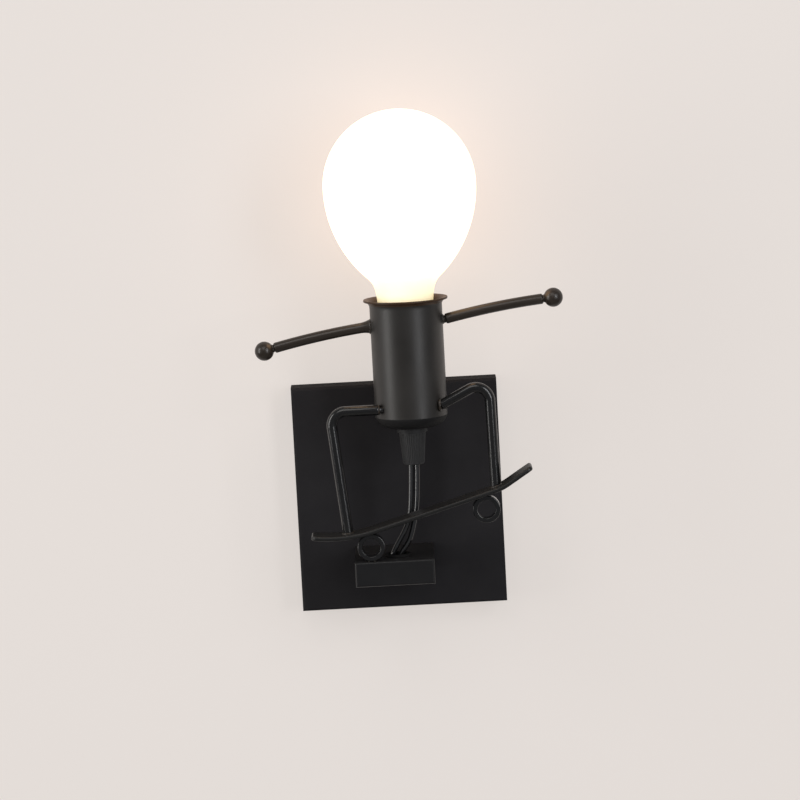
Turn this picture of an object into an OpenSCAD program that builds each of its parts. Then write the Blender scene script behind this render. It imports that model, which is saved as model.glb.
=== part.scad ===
// Wall lamp shaped like a stick figure that rides a board.
// Millimetres. +Z is up, +X is right, the wall is the plane y = 0 and the lamp stands out towards -Y.
// The origin is the centre of the two wall screw holes.

/* [Canopy] */
// Width of the canopy
canopy_w = 120; // [100:1:140]
// Height of the canopy
canopy_h = 132; // [120:1:150]
// Depth of the canopy from the wall to its front
canopy_d = 18; // [18:0.5:26]
// Sheet thickness of the canopy
canopy_t = 1.2; // [0.8:0.1:2]
// Bend radius of the canopy's front edges
canopy_bend_r = 1.8; // [1.6:0.2:5]

/* [Crossbar] */
// Width of the crossbar on the wall
bar_w = 20; // [16:1:30]
// Sheet thickness of the crossbar
bar_t = 1.5; // [1:0.1:2.5]
// Depth of the crossbar's bent ends
bar_tab = 12; // [10:0.5:15]
// Diameter of the wall screw holes
wall_hole_d = 4.8; // [4:0.1:6]
// Distance between the wall screw holes
wall_hole_pitch = 60; // [55:1:80]
// Gap between the crossbar's ends and the canopy
bar_gap = 0.2; // [0.1:0.05:0.4]

/* [Screws] */
// Shank diameter of the large screws
screw_d = 4; // [3:0.1:5]
// Shank diameter of the small screws
small_screw_d = 2.5; // [2:0.1:3]
// Head diameter over shank diameter
head_ratio = 1.85; // [1.6:0.05:2.1]
// Head height over shank diameter
head_h_ratio = 0.4; // [0.35:0.05:0.8]
// Radial gap of a screw in its hole
screw_gap = 0.1; // [0.05:0.05:0.2]
// How far a screw stands out past the sheet that it is screwed into
screw_end = 2; // [1:0.5:3]
// Outer diameter of the earth washer
washer_d = 9.4; // [8.6:0.1:11]
// Thickness of the earth washer
washer_t = 0.8; // [0.6:0.1:1.2]
// Distance of the earth screw from the upper wall screw
earth_drop = 9; // [8:0.5:11]

/* [Terminal block] */
// Width of the terminal block
block_w = 17; // [15:0.5:22]
// Height of the terminal block
block_h = 20; // [16:0.5:28]
// Depth of the terminal block
block_d = 13; // [11:0.5:14.5]
// Distance between its two poles
pole_pitch = 9; // [8.6:0.1:9.6]
// Outer diameter of a brass insert
insert_d = 5.6; // [5:0.1:6.2]
// Wire bore of a brass insert
insert_bore = 3.8; // [3.6:0.1:4.2]
// Distance of an insert's ends inside the block
insert_inset = 1; // [0.5:0.1:2]

/* [Ledge] */
// Width of the ledge box
ledge_w = 45.5; // [38:0.5:60]
// Height of the ledge box
ledge_h = 14.5; // [14:0.5:24]
// Sheet thickness of the ledge box
ledge_t = 1.5; // [1:0.1:2]
// Bend radius of the ledge box's front edges
ledge_bend_r = 1.2; // [0.8:0.1:3]
// How far the ledge's front stands before the middle of the deck
ledge_lip = 5; // [4:0.5:12]
// Sideways place of the ledge's middle
ledge_x = -4.5; // [-10:0.5:4]
// Thickness of the ledge's back plate
back_plate_t = 3; // [2:0.1:5]
// Distance between the two ledge screws
ledge_screw_pitch = 30; // [26:0.5:34]

/* [Grommets] */
// Hole in the top of the ledge
ledge_hole_d = 12.8; // [12.6:0.1:13.4]
// Sideways place of that hole from the ledge's middle
ledge_hole_x = 2; // [1.5:0.1:2.5]
// Wire opening of the ledge grommet
ledge_grommet_bore = 10.6; // [10.4:0.1:11]
// Hole through the canopy and the back plate
canopy_hole_d = 9; // [8.6:0.1:9.4]
// Wire opening of the canopy bush
canopy_bush_bore = 7.4; // [7:0.1:7.6]
// Width of a grommet's flange
grommet_flange = 1.5; // [1:0.1:2]
// Thickness of a grommet's flange
grommet_flange_t = 1.4; // [1:0.1:1.8]
// Gap between a grommet and its hole
grommet_gap = 0.1; // [0.05:0.05:0.2]
// Bevel on the edges of a grommet's flanges
grommet_edge = 0.5; // [0.3:0.1:0.8]

/* [Board] */
// Width of the deck strip
deck_w = 18; // [14:0.5:26]
// Thickness of the deck strip
deck_t = 2.6; // [1.5:0.1:4]
// Radius of the corners of the deck's ends
deck_corner_r = 3; // [1:0.5:6]
// Length of the deck's straight stretch
deck_len = 72; // [66:1:82]
// Slope of the straight stretch
deck_tilt = 15.8; // [12:0.2:18]
// Sideways place of the straight stretch's middle
deck_x = 20; // [16:0.5:24]
// Height of the straight stretch's middle
deck_z = -1; // [-5:0.5:4]
// Bend radius of the tail
tail_r = 85; // [70:1:110]
// Angle that the tail turns up by
tail_kick = 23.4; // [18:0.2:28]
// Straight length at the tail's end
tail_len = 2; // [1:0.5:8]
// Bend radius of the nose
nose_r = 30; // [20:1:45]
// Angle that the nose turns up by
nose_kick = 21; // [12:0.2:28]
// Straight length at the nose's end
nose_len = 15; // [8:0.5:24]
// Outer diameter of a wheel ring
wheel_d = 15.8; // [13:0.2:20]
// Wall of a wheel ring
wheel_wall = 2.7; // [1.5:0.1:4]
// Width of a wheel ring
wheel_w = 7; // [4:0.5:9]
// Place of the left wheel beyond the tail end of the straight stretch
wheel_left_out = 4.8; // [2:0.1:8]
// Place of the right wheel before the nose end of the straight stretch
wheel_right_in = 7.9; // [5:0.1:12]

/* [Figure] */
// Distance of the cup's axis from the wall
axis_reach = 58; // [54:0.5:70]
// Sideways place of the cup's axis
axis_x = 9.5; // [4:0.5:14]
// Height of the cup's flat bottom
cup_base_z = 45.5; // [44:0.5:60]
// Diameter of the rods
rod_d = 6; // [4:0.1:7]
// Distance of the legs before the cup's axis
leg_offset = 12.5; // [12:0.5:16]
// Bend radius of the knees, at the rod's middle
knee_r = 8; // [7:0.5:12]
// Height of the hips over the cup's bottom
hip_h = 12.2; // [10.6:0.1:14]
// Sideways place of a hip's end from the cup's axis
hip_out = 16.9; // [14:0.1:17]
// Distance of the left knee from the cup's axis
knee_left_out = 46.4; // [40:0.2:54]
// Height of the left knee over the cup's bottom
knee_left_h = 12.3; // [9:0.1:20]
// Distance of the right knee from the cup's axis
knee_right_out = 44.8; // [40:0.2:54]
// Height of the right knee over the cup's bottom
knee_right_h = 27; // [18:0.1:32]
// Place of the left foot beyond the tail end of the straight stretch
foot_left_out = 15.5; // [12:0.1:18]
// Place of the right foot before the nose end of the straight stretch
foot_right_in = 0.7; // [0:0.1:5]
// Radius that the arms are arched to
arm_curve_r = 440; // [250:10:900]
// Height of the left shoulder over the cup's bottom
shoulder_left_h = 58.8; // [40:0.1:64]
// Slope of the left arm at the cup
arm_left_slope = 6.1; // [-10:0.1:20]
// Length of the left arm to its hand's middle
arm_left_len = 62.2; // [45:0.2:80]
// Height of the right shoulder over the cup's bottom
shoulder_right_h = 60.6; // [40:0.1:64]
// Slope of the right arm at the cup
arm_right_slope = 12.6; // [-10:0.1:20]
// Length of the right arm to its hand's middle
arm_right_len = 64.3; // [45:0.2:80]
// Diameter of a hand ball
hand_d = 11; // [9:0.2:16]

/* [Cup] */
// Outer diameter of the cup
cup_d = 41.5; // [41:0.1:46]
// Sheet thickness of the cup
cup_t = 1.2; // [0.8:0.1:1.5]
// Height of the cup's rounded bottom
cup_round_h = 6.2; // [5:0.1:7.6]
// Diameter of the flat pad in the cup's bottom
cup_pad_d = 24; // [20:0.2:26]
// Height of the cup's straight wall with its rim
cup_wall_h = 65.6; // [60:0.2:75]
// Outward flare of the rim
rim_flare = 3.2; // [2:0.1:5]

/* [Cord grip] */
// Diameter of the collar under the cup
collar_d = 17.6; // [17:0.2:24]
// Thickness of the collar
collar_t = 2.8; // [2:0.1:5]
// Upper diameter of the strain relief
relief_top_d = 15.3; // [14:0.1:17]
// Lower diameter of the strain relief
relief_tip_d = 12.2; // [11:0.1:14]
// Length of the strain relief
relief_len = 18.7; // [16:0.1:26]
// Outer diameter of the threaded nipple
nipple_d = 10; // [9.4:0.1:10.6]
// Bore of the nipple and of the strain relief
wire_bore = 7.4; // [7:0.1:7.6]
// How far the nipple reaches into the strain relief
nipple_low = 7; // [4:0.2:10]
// Thickness of the lock nut
nut_t = 4; // [3:0.1:5]
// Width across the flats of the lock nut
nut_af = 14; // [13:0.1:16]
// Gap between the nipple and the pieces on it
nipple_gap = 0.1; // [0.05:0.05:0.2]

/* [Lampholder] */
// Outer diameter of the lampholder
holder_d = 36.8; // [34:0.2:37.4]
// Height of the lampholder's base
holder_base_h = 29.3; // [25:0.1:30]
// How far the base tapers in towards its bottom
holder_taper = 4; // [3.5:0.1:6]
// Height of that taper
holder_taper_h = 5; // [4:0.2:7]
// How far the nipple screws into the base
nipple_grip = 9.8; // [6:0.2:10]
// Diameter of the wiring cavity in the base
cavity_d = 18; // [17:0.2:22]
// Height of the wiring cavity over the nipple
cavity_h = 11.5; // [9.5:0.1:12]
// Height of the lampholder's sleeve
sleeve_h = 28; // [26:0.2:29]
// Inner diameter of the sleeve
sleeve_bore = 30; // [29.4:0.1:32]
// Height of the holder's screw shell
shell_h = 26; // [24:0.2:27]
// Wall of the holder's screw shell at the thread's root
shell_wall = 0.5; // [0.4:0.05:0.8]
// Height below the shell's thread
shell_plain_h = 8; // [7:0.2:10]
// Height above the shell's thread
shell_lip_h = 1; // [0.8:0.1:2]
// Length of the centre contact's tongue
leaf_len = 12; // [10:0.2:13]
// Length of the tongue's raised tip
leaf_tip = 6; // [5:0.2:8]
// Distance of the tongue's fold behind the axis
leaf_back = 2; // [1.5:0.1:3]
// Width of the tongue
leaf_w = 6; // [5:0.2:8]
// Sheet thickness of the tongue
leaf_t = 0.6; // [0.4:0.05:0.8]
// Height of the tongue's tip
leaf_rise = 2; // [1.8:0.1:3]

/* [Bulb] */
// Outer diameter of the cap's thread
cap_d = 26.4; // [26:0.05:26.5]
// Depth of the thread
thread_depth = 1.1; // [0.8:0.05:1.2]
// Pitch of the thread
thread_pitch = 3.629; // [3.3:0.001:4]
// Radial gap between the cap and the screw shell
thread_gap = 0.4; // [0.35:0.05:0.6]
// Height of the cap's shell
cap_h = 22; // [20:0.2:24]
// Inner diameter of the cap's shell
cap_bore = 23; // [21:0.1:23.4]
// Height of the cap's insulator and contact
cap_nose_h = 4.7; // [4.4:0.1:5.2]
// Plain height above the cap's thread
cap_plain_h = 2; // [1.5:0.1:3]
// Diameter of the insulator's lower end
insulator_d = 12; // [10:0.2:14]
// Diameter of the cap's contact
contact_d = 9.4; // [8:0.1:10]
// Thickness of the cap's contact
contact_t = 1.2; // [0.8:0.1:1.6]
// Gap between the bulb and what it rests on
bulb_gap = 0.3; // [0.2:0.05:0.4]
// Diameter of the globe
globe_d = 87; // [78:0.5:100]
// Height of the globe's widest place over its lower edge
globe_mid_h = 74.5; // [70:0.5:85]
// Radius of the globe's sides below its widest place
globe_side_r = 81.4; // [76:0.2:95]
// Wall of the globe
globe_wall = 1.2; // [0.8:0.1:1.6]
// Diameter of the globe's lower edge
neck_d = 30; // [29.6:0.1:30.4]
// Diameter of the neck where it meets the globe
neck_top_d = 33.4; // [31:0.1:36]
// Height of the neck
neck_h = 11.6; // [10:0.1:13]
// Height over which the neck flares into the globe
flare_h = 8; // [6:0.2:10]
// Height of the driver housing
housing_h = 4; // [3:0.1:5]
// Thickness of the LED plate
led_plate_t = 1.2; // [1:0.1:2]
// Number of LED chips
led_count = 8; // [4:1:12]
// Size of an LED chip
led_size = 2.8; // [2:0.1:3.5]
// Height of an LED chip
led_h = 0.7; // [0.5:0.1:1]
// Width of the driver board
driver_w = 16; // [12:0.5:19]
// Thickness of the driver board
driver_t = 1.6; // [1:0.1:2]
// Distance of the driver board's lower edge over the cap's lower edge
driver_low = 4; // [3:0.5:6]

/* [Wires] */
// Diameter of a wire
wire_d = 3; // [2.4:0.1:3.1]

/* [Hidden] */
$fn = 64;
// Flat sides round a thread and round a wire
thread_sides = 28;
wire_sides = 8;
// Rings for one turn of a thread, and the length over which a thread runs out
thread_steps = 6;
thread_fade = 2.5;
// Points on each half of the globe's outline, and how far the neck's flare has opened at half its height
globe_points = 14;
flare_share = 0.35;
// Least radius inside a bent sheet edge
least_bend_r = 0.2;
// Overlap of a cutting shape beyond the face that it cuts
cut = 1;
// How far a rod reaches into its bend, and how much thicker the bend is
weld_reach = 0.3;
weld_step = 0.04;
// Steps of the deck's outline along each bent end
tail_steps = 14;
nose_steps = 8;
// Steps of the cup's outline over its rounded bottom and over its rim
round_steps = 8;
rim_steps = 8;

axis_y = -axis_reach;
leg_y = axis_y - leg_offset;
canopy_front_y = -canopy_d;
ledge_front_y = leg_y - ledge_lip;
screw_hole_d = screw_d + 2 * screw_gap;
small_head_d = small_screw_d * head_ratio;
small_hole_d = small_screw_d + 2 * screw_gap;

bar_half_h = canopy_h / 2 - canopy_t - bar_gap;
tab_screw_y = -max(screw_d * head_ratio / 2, bar_t + screw_hole_d / 2) - bar_gap;
canopy_screw_len = canopy_t + bar_gap + bar_t + screw_end;
earth_z = wall_hole_pitch / 2 - earth_drop;

block_y = -bar_t - block_d / 2;
block_front_y = -bar_t - block_d;
insert_len = block_h - 2 * insert_inset;
clamp_z = block_h / 4;

cup_r = cup_d / 2;
cup_side_z = cup_base_z + cup_round_h;
rim_z = cup_side_z + cup_wall_h;
rim_r = cup_r + rim_flare;
pad_r = cup_pad_d / 2;
round_r = (pow(cup_r - pad_r, 2) + pow(cup_round_h, 2)) / (2 * cup_round_h);

collar_z = cup_base_z - collar_t;
relief_z = collar_z - relief_len;
nipple_hole_d = nipple_d + 2 * nipple_gap;
nut_z = cup_base_z + cup_t;
holder_z = nut_z + nut_t;
nipple_top_z = holder_z + nipple_grip;
nipple_z = collar_z - nipple_low;
cavity_z = nipple_top_z + cavity_h;
holder_top_z = holder_z + holder_base_h;
terminal_size = [4, 5, 5];
terminal_x = 3.4;

contact_z = holder_top_z + leaf_rise + bulb_gap;
cap_z = contact_z + cap_nose_h;
cap_top_z = cap_z + cap_h;
globe_z = cap_top_z + bulb_gap;
housing_d = neck_d - 2 * globe_wall - 2 * bulb_gap;
led_z = cap_top_z + housing_h;

// Deck: s runs along it from the middle of its straight stretch, and down lies below its middle layer.
function turn(a) = [sin(a), -cos(a)];
function arc_length(r, a) = r * a * PI / 180;
function arc_angle(r, length) = length / r * 180 / PI;
straight_end = deck_len / 2;
tail_s = -straight_end - arc_length(tail_r, tail_kick) - tail_len;
nose_s = straight_end + arc_length(nose_r, nose_kick) + nose_len;
function deck_slope(s) = deck_tilt
    + min(arc_angle(nose_r, max(s - straight_end, 0)), nose_kick)
    - min(arc_angle(tail_r, max(-straight_end - s, 0)), tail_kick);
function deck_point(s, down) =
    let (
        a = deck_slope(s),
        r = s > 0 ? nose_r : tail_r,
        bent = arc_length(r, abs(a - deck_tilt)),
        flat = sign(s) * min(abs(s), straight_end),
        beyond = sign(s) * max(abs(s) - straight_end - bent, 0)
    )
    [deck_x, deck_z] + flat * [cos(deck_tilt), sin(deck_tilt)] - r * turn(deck_tilt) + (r + down) * turn(a)
        + beyond * [cos(a), sin(a)];
wheel_left = deck_point(-straight_end - wheel_left_out, deck_t / 2 + wheel_d / 2);
wheel_right = deck_point(straight_end - wheel_right_in, deck_t / 2 + wheel_d / 2);
ledge_top_z = wheel_left.y - wheel_d / 2;
ledge_mid_z = ledge_top_z - ledge_h / 2;
// The bush's flange keeps clear of the ledge's upper and lower wall.
bush_flange_d = min(canopy_hole_d + 2 * grommet_flange, ledge_h - 2 * ledge_t - 2 * grommet_gap);

hip_z = cup_base_z + hip_h;
knee_left = [axis_x - knee_left_out, cup_base_z + knee_left_h];
knee_right = [axis_x + knee_right_out, cup_base_z + knee_right_h];

// Routes of the two wires, from the lampholder to the terminal block.
line_route = [
    [7.8, -58, 66], [7.8, -58, 59], [7.8, -58, 52], [7.8, -58, 45], [7.8, -58, 38], [7.8, -58, 31],
    [7.8, -58, 24], [7.5, -58, 17], [7.1, -58, 10], [6.6, -58, 3], [5.8, -58, -4], [4.1, -58, -10],
    [1.5, -58, -15.5], [-1.4, -58, -20.5], [-4, -58, -25], [-5.5, -58, -29], [-6, -57, -32.5],
    [-6.2, -54, -35], [-6.2, -49.5, -35.7], [-6.2, -43, -35.7], [-6.2, -36, -35.7], [-6.2, -29, -35.7],
    [-6.2, -22, -35.7], [-6.2, -16, -35.4], [-6.1, -11.5, -33], [-5.7, -8.8, -28.5], [-5, -8, -22.5],
    [-4.6, -8, -16], [-4.5, -8, -9], [-4.5, -8, -2],
];
neutral_route = [
    [11.2, -58, 66], [11.2, -58, 59], [11.2, -58, 52], [11.2, -58, 45], [11.2, -58, 38], [11.2, -58, 31],
    [11.2, -58, 24], [11, -58, 17], [10.6, -58, 10], [10.1, -58, 3], [9.2, -58, -4], [7.8, -58, -10],
    [6.4, -58, -15.5], [4.7, -58, -20], [2.3, -58, -23.8], [0, -58, -27], [-1.5, -58, -30],
    [-2.3, -57, -33], [-2.7, -54, -35], [-2.8, -49.5, -35.7], [-2.8, -43, -35.7], [-2.8, -36, -35.7],
    [-2.8, -29, -35.7], [-2.8, -22, -35.7], [-2.8, -16, -35.4], [-2.4, -11.5, -33], [-0.8, -8.8, -28.5],
    [1.8, -8, -22.5], [4, -8, -16], [4.5, -8, -9], [4.5, -8, -2],
];

paint = "#2a2a2b";
steel = "#b9bcc0";
brass = "#c7a455";
rubber = "#1b1b1c";

// Frames and small shapes that several pieces use.
module on_axis(z) {
    translate([axis_x, axis_y, z]) children();
}

// Turns a shape that is drawn along +Z so that it points along -Y.
module facing_front() {
    rotate([90, 0, 0]) children();
}

// Slotted screw along -Z, with the underside of its head at the origin.
module slotted_screw(d, length) {
    slot_w = d * 0.25;
    slot_depth = d * head_h_ratio / 2;
    difference() {
        union() {
            cylinder(h = d * head_h_ratio, d = d * head_ratio);
            translate([0, 0, -length]) cylinder(h = length, d = d);
        }
        translate([-d * head_ratio, -slot_w / 2, d * head_h_ratio - slot_depth])
            cube([2 * d * head_ratio, slot_w, slot_depth + cut]);
    }
}

// Rectangle on the X axis whose two upper corners are round.
module round_front(w, d, r) {
    translate([-w / 2, 0]) square([w, d - r]);
    translate([-w / 2 + r, 0]) square([w - 2 * r, d]);
    for (side = [-1, 1]) translate([side * (w / 2 - r), d - r]) circle(r);
}

// Radius inside a bent sheet edge whose outside has the radius r
function inner_bend(r, t) = max(r - t, least_bend_r);

// Box that opens towards the wall and stands d out from y = 0, with round front edges.
module front_box(w, h, d, r) {
    intersection() {
        translate([0, 0, -h / 2]) linear_extrude(h) mirror([0, 1]) round_front(w, d, r);
        translate([w / 2, 0, 0]) rotate([0, -90, 0]) linear_extrude(w) mirror([0, 1]) round_front(h, d, r);
    }
}

// Rubber ring along +Z that grips a sheet from z = 0 up to z = grip.
module grommet(hole, bore, grip, flange) {
    neck = hole - 2 * grommet_gap;
    rotate_extrude() polygon([
        [bore / 2, -grommet_flange_t], [flange / 2 - grommet_edge, -grommet_flange_t],
        [flange / 2, -grommet_edge], [flange / 2, 0], [neck / 2, 0], [neck / 2, grip], [flange / 2, grip],
        [flange / 2, grip + grommet_edge], [flange / 2 - grommet_edge, grip + grommet_flange_t],
        [bore / 2, grip + grommet_flange_t],
    ]);
}

// Straight and curved stretches of rod, with places given as [x, z] in the plane y.
module rod_between(a, b, y) {
    d = b - a;
    translate([a.x, y, a.y]) rotate([0, atan2(d.x, d.y), 0]) cylinder(h = norm(d), d = rod_d);
}

module rod_arc(middle, r, d, y, from, to) {
    translate([middle.x, y, middle.y]) rotate([90, 0, 0]) rotate([0, 0, from])
        rotate_extrude(angle = to - from, $fn = 720) translate([r, 0]) circle(d = d, $fn = 64);
}

// Rod from a to b to c with a round bend at b. The straight stretches reach a little way into the bend,
// which is thicker by weld_step, so that the three make one piece.
module bent_rod(a, b, c, r, y) {
    u = (b - a) / norm(b - a);
    v = (c - b) / norm(c - b);
    bend = acos(u * v);
    side = sign(cross(u, v));
    reach = r * tan(bend / 2);
    p = b - reach * u;
    q = b + reach * v;
    middle = p + r * side * [-u.y, u.x];
    start = side > 0 ? p - middle : q - middle;
    from = atan2(start.y, start.x);
    rod_between(a, p + weld_reach * u, y);
    rod_arc(middle, r, rod_d + weld_step, y, from, from + bend);
    rod_between(q - weld_reach * v, c, y);
}

// Polyhedron through rings of equal point counts, closed at both ends.
module loft(rings) {
    n = len(rings[0]);
    m = len(rings);
    points = [for (ring = rings) each ring];
    sides = [for (j = [0 : m - 2], i = [0 : n - 1], k = [0, 1]) k == 0
        ? [j * n + i, (j + 1) * n + i, j * n + (i + 1) % n]
        : [j * n + (i + 1) % n, (j + 1) * n + i, (j + 1) * n + (i + 1) % n]];
    low = [[for (i = [0 : n - 1]) i]];
    high = [[for (i = [n - 1 : -1 : 0]) (m - 1) * n + i]];
    polyhedron(points, concat(sides, low, high));
}

// Tube through rings that close on themselves: the last ring joins the first.
module loft_ring(rings) {
    n = len(rings[0]);
    m = len(rings);
    points = [for (ring = rings) each ring];
    sides = [for (j = [0 : m - 1], i = [0 : n - 1], k = [0, 1]) k == 0
        ? [j * n + i, ((j + 1) % m) * n + i, j * n + (i + 1) % n]
        : [j * n + (i + 1) % n, ((j + 1) % m) * n + i, ((j + 1) % m) * n + (i + 1) % n]];
    polyhedron(points, sides);
}

function smooth(t) = t <= 0 ? 0 : t >= 1 ? 1 : t * t * (3 - 2 * t);
// How much of the thread stands at height z of a threaded length
function thread_share(z, low, high) = smooth((z - low) / thread_fade) * smooth((high - z) / thread_fade);
// Right-hand thread, from 0 at its root to thread_depth at its crest
function thread_at(z, a) = thread_depth / 2 * (1 + cos(360 * z / thread_pitch - a));
function circle_at(r, z) = [for (i = [0 : thread_sides - 1])
    [r * cos(360 * i / thread_sides), r * sin(360 * i / thread_sides), z]];

function ring_around(p, along, r) =
    let (
        t = along / norm(along),
        u = [1, 0, 0] - t.x * t,
        v = u / norm(u),
        w = cross(t, v)
    )
    [for (i = [0 : wire_sides - 1]) p + r * (cos(360 * i / wire_sides) * v + sin(360 * i / wire_sides) * w)];

module wire(route) {
    last = len(route) - 1;
    loft([for (i = [0 : last])
        ring_around(route[i], route[min(i + 1, last)] - route[max(i - 1, 0)], wire_d / 2)]);
}

// Wall side of the lamp.
module mounting_crossbar() {
    color(steel) difference() {
        union() {
            translate([-bar_w / 2, -bar_t, -bar_half_h]) cube([bar_w, bar_t, 2 * bar_half_h]);
            for (z = [-bar_half_h, bar_half_h - bar_t])
                translate([-bar_w / 2, -bar_tab, z]) cube([bar_w, bar_tab, bar_t]);
        }
        for (side = [-1, 1]) {
            translate([0, cut, side * wall_hole_pitch / 2]) facing_front()
                cylinder(h = bar_t + 2 * cut, d = wall_hole_d);
            translate([0, tab_screw_y, side * bar_half_h])
                cylinder(h = 4 * bar_t, d = screw_hole_d, center = true);
        }
        translate([0, cut, earth_z]) facing_front() cylinder(h = bar_t + 2 * cut, d = screw_hole_d);
        translate([0, cut, 0]) facing_front() cylinder(h = bar_t + 2 * cut, d = small_hole_d);
    }
}

module canopy() {
    color(paint) difference() {
        front_box(canopy_w, canopy_h, canopy_d, canopy_bend_r);
        translate([0, cut, 0]) front_box(canopy_w - 2 * canopy_t, canopy_h - 2 * canopy_t,
            canopy_d - canopy_t + cut, inner_bend(canopy_bend_r, canopy_t));
        translate([0, tab_screw_y, 0]) cylinder(h = canopy_h + 2 * cut, d = screw_hole_d, center = true);
        translate([ledge_x, canopy_front_y + 2 * canopy_t, ledge_mid_z]) facing_front()
            cylinder(h = 3 * canopy_t, d = canopy_hole_d);
        for (side = [-1, 1])
            translate([ledge_x + side * ledge_screw_pitch / 2, canopy_front_y + 2 * canopy_t, ledge_mid_z])
                facing_front() cylinder(h = 3 * canopy_t, d = screw_hole_d);
    }
}

module canopy_screws() {
    color(paint) for (side = [0, 180])
        rotate([0, side, 0]) translate([0, tab_screw_y, canopy_h / 2])
            slotted_screw(screw_d, canopy_screw_len);
}

module earth_screw() {
    color(brass) translate([0, -bar_t - washer_t, earth_z]) facing_front()
        slotted_screw(screw_d, bar_t + washer_t);
}

module earth_washer() {
    color(brass) translate([0, -bar_t, earth_z]) facing_front() difference() {
        cylinder(h = washer_t, d = washer_d);
        translate([0, 0, -cut]) cylinder(h = washer_t + 2 * cut, d = screw_hole_d);
    }
}

module terminal_block() {
    color("#e4e2da") difference() {
        translate([-block_w / 2, block_front_y, -block_h / 2]) cube([block_w, block_d, block_h]);
        for (side = [-1, 1]) {
            translate([side * pole_pitch / 2, block_y, 0])
                cylinder(h = block_h + 2 * cut, d = insert_d + 2 * screw_gap, center = true);
            for (end = [-1, 1])
                translate([side * pole_pitch / 2, block_y, end * clamp_z]) facing_front()
                    cylinder(h = block_d, d = small_head_d + 2 * screw_gap);
        }
        translate([0, cut, 0]) facing_front() cylinder(h = block_d + bar_t + 2 * cut, d = small_hole_d);
    }
}

module terminal_inserts() {
    color(brass) for (side = [-1, 1]) translate([side * pole_pitch / 2, block_y, 0]) difference() {
        cylinder(h = insert_len, d = insert_d, center = true);
        cylinder(h = insert_len + 2 * cut, d = insert_bore, center = true);
        for (end = [-1, 1])
            translate([0, 0, end * clamp_z]) facing_front() cylinder(h = insert_d, d = small_hole_d);
    }
}

module terminal_screws() {
    color(steel) for (side = [-1, 1], end = [-1, 1])
        translate([side * pole_pitch / 2, block_y - insert_d / 2, end * clamp_z]) facing_front()
            slotted_screw(small_screw_d, (insert_d - insert_bore) / 2);
}

module terminal_block_screw() {
    color(steel) translate([0, block_front_y, 0]) facing_front()
        slotted_screw(small_screw_d, block_d + bar_t);
}

module canopy_bush() {
    color(rubber) translate([ledge_x, canopy_front_y + canopy_t, ledge_mid_z]) facing_front()
        grommet(canopy_hole_d, canopy_bush_bore, canopy_t + back_plate_t, bush_flange_d);
}

// Ledge that carries the board.
module ledge_box() {
    depth = canopy_front_y - ledge_front_y;
    color(paint) translate([ledge_x, canopy_front_y, ledge_mid_z]) difference() {
        front_box(ledge_w, ledge_h, depth, ledge_bend_r);
        translate([0, cut, 0]) front_box(ledge_w - 2 * ledge_t, ledge_h - 2 * ledge_t,
            depth - ledge_t + cut, inner_bend(ledge_bend_r, ledge_t));
        translate([ledge_hole_x, axis_y - canopy_front_y, ledge_h / 2 - 2 * ledge_t])
            cylinder(h = 3 * ledge_t, d = ledge_hole_d);
    }
}

module ledge_back_plate() {
    w = ledge_w - 2 * ledge_t;
    h = ledge_h - 2 * ledge_t;
    color(steel) translate([ledge_x, canopy_front_y, ledge_mid_z]) difference() {
        translate([-w / 2, -back_plate_t, -h / 2]) cube([w, back_plate_t, h]);
        translate([0, cut, 0]) facing_front() cylinder(h = back_plate_t + 2 * cut, d = canopy_hole_d);
        for (side = [-1, 1])
            translate([side * ledge_screw_pitch / 2, cut, 0]) facing_front()
                cylinder(h = back_plate_t + 2 * cut, d = screw_hole_d);
    }
}

module ledge_screws() {
    color(steel) for (side = [-1, 1])
        translate([ledge_x + side * ledge_screw_pitch / 2, canopy_front_y + canopy_t, ledge_mid_z])
            rotate([-90, 0, 0]) slotted_screw(screw_d, canopy_t + back_plate_t + screw_end);
}

module ledge_grommet() {
    color(rubber) translate([ledge_x + ledge_hole_x, axis_y, ledge_top_z - ledge_t])
        grommet(ledge_hole_d, ledge_grommet_bore, ledge_t, ledge_hole_d + 2 * grommet_flange);
}

// Board.
module wheel_ring(place) {
    color(paint) translate([place.x, leg_y, place.y]) facing_front() difference() {
        cylinder(h = wheel_w, d = wheel_d, center = true);
        cylinder(h = wheel_w + 2 * cut, d = wheel_d - 2 * wheel_wall, center = true);
    }
}

module wheel_left_ring() {
    wheel_ring(wheel_left);
}

module wheel_right_ring() {
    wheel_ring(wheel_right);
}

// Line along the deck from its tail to its nose, reaching past both ends by cut.
function deck_line(down) =
    [for (s = [
        tail_s - cut,
        for (i = [tail_steps : -1 : 0]) -straight_end - arc_length(tail_r, tail_kick) * i / tail_steps,
        for (i = [0 : nose_steps]) straight_end + arc_length(nose_r, nose_kick) * i / nose_steps,
        nose_s + cut,
    ]) deck_point(s, down)];

function reversed(list) = [for (i = [len(list) - 1 : -1 : 0]) list[i]];

// Extrudes an outline in [x, z] to the width w round the plane of the legs.
module along_deck(w) {
    translate([0, leg_y + w / 2, 0]) facing_front() linear_extrude(w) children();
}

// Everything on the deck's side of one of its ends, which is cut square and has round corners.
module up_to_end(s) {
    end = deck_point(s, 0);
    reach = 3 * deck_len;
    translate([end.x, leg_y, end.y]) rotate([0, -deck_slope(s), 0]) linear_extrude(2 * reach, center = true)
        translate([-sign(s) * reach, 0]) rotate(-sign(s) * 90) round_front(deck_w, reach, deck_corner_r);
}

module deck() {
    color(paint) intersection() {
        along_deck(deck_w + 2 * cut) polygon(concat(deck_line(deck_t / 2), reversed(deck_line(-deck_t / 2))));
        up_to_end(tail_s);
        up_to_end(nose_s);
    }
}

// Figure: rods welded to the cup and to the deck.
module cup_core() {
    on_axis(cup_base_z - cup_d) cylinder(h = rim_z - cup_base_z + 2 * cup_d, d = cup_d);
}

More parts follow.
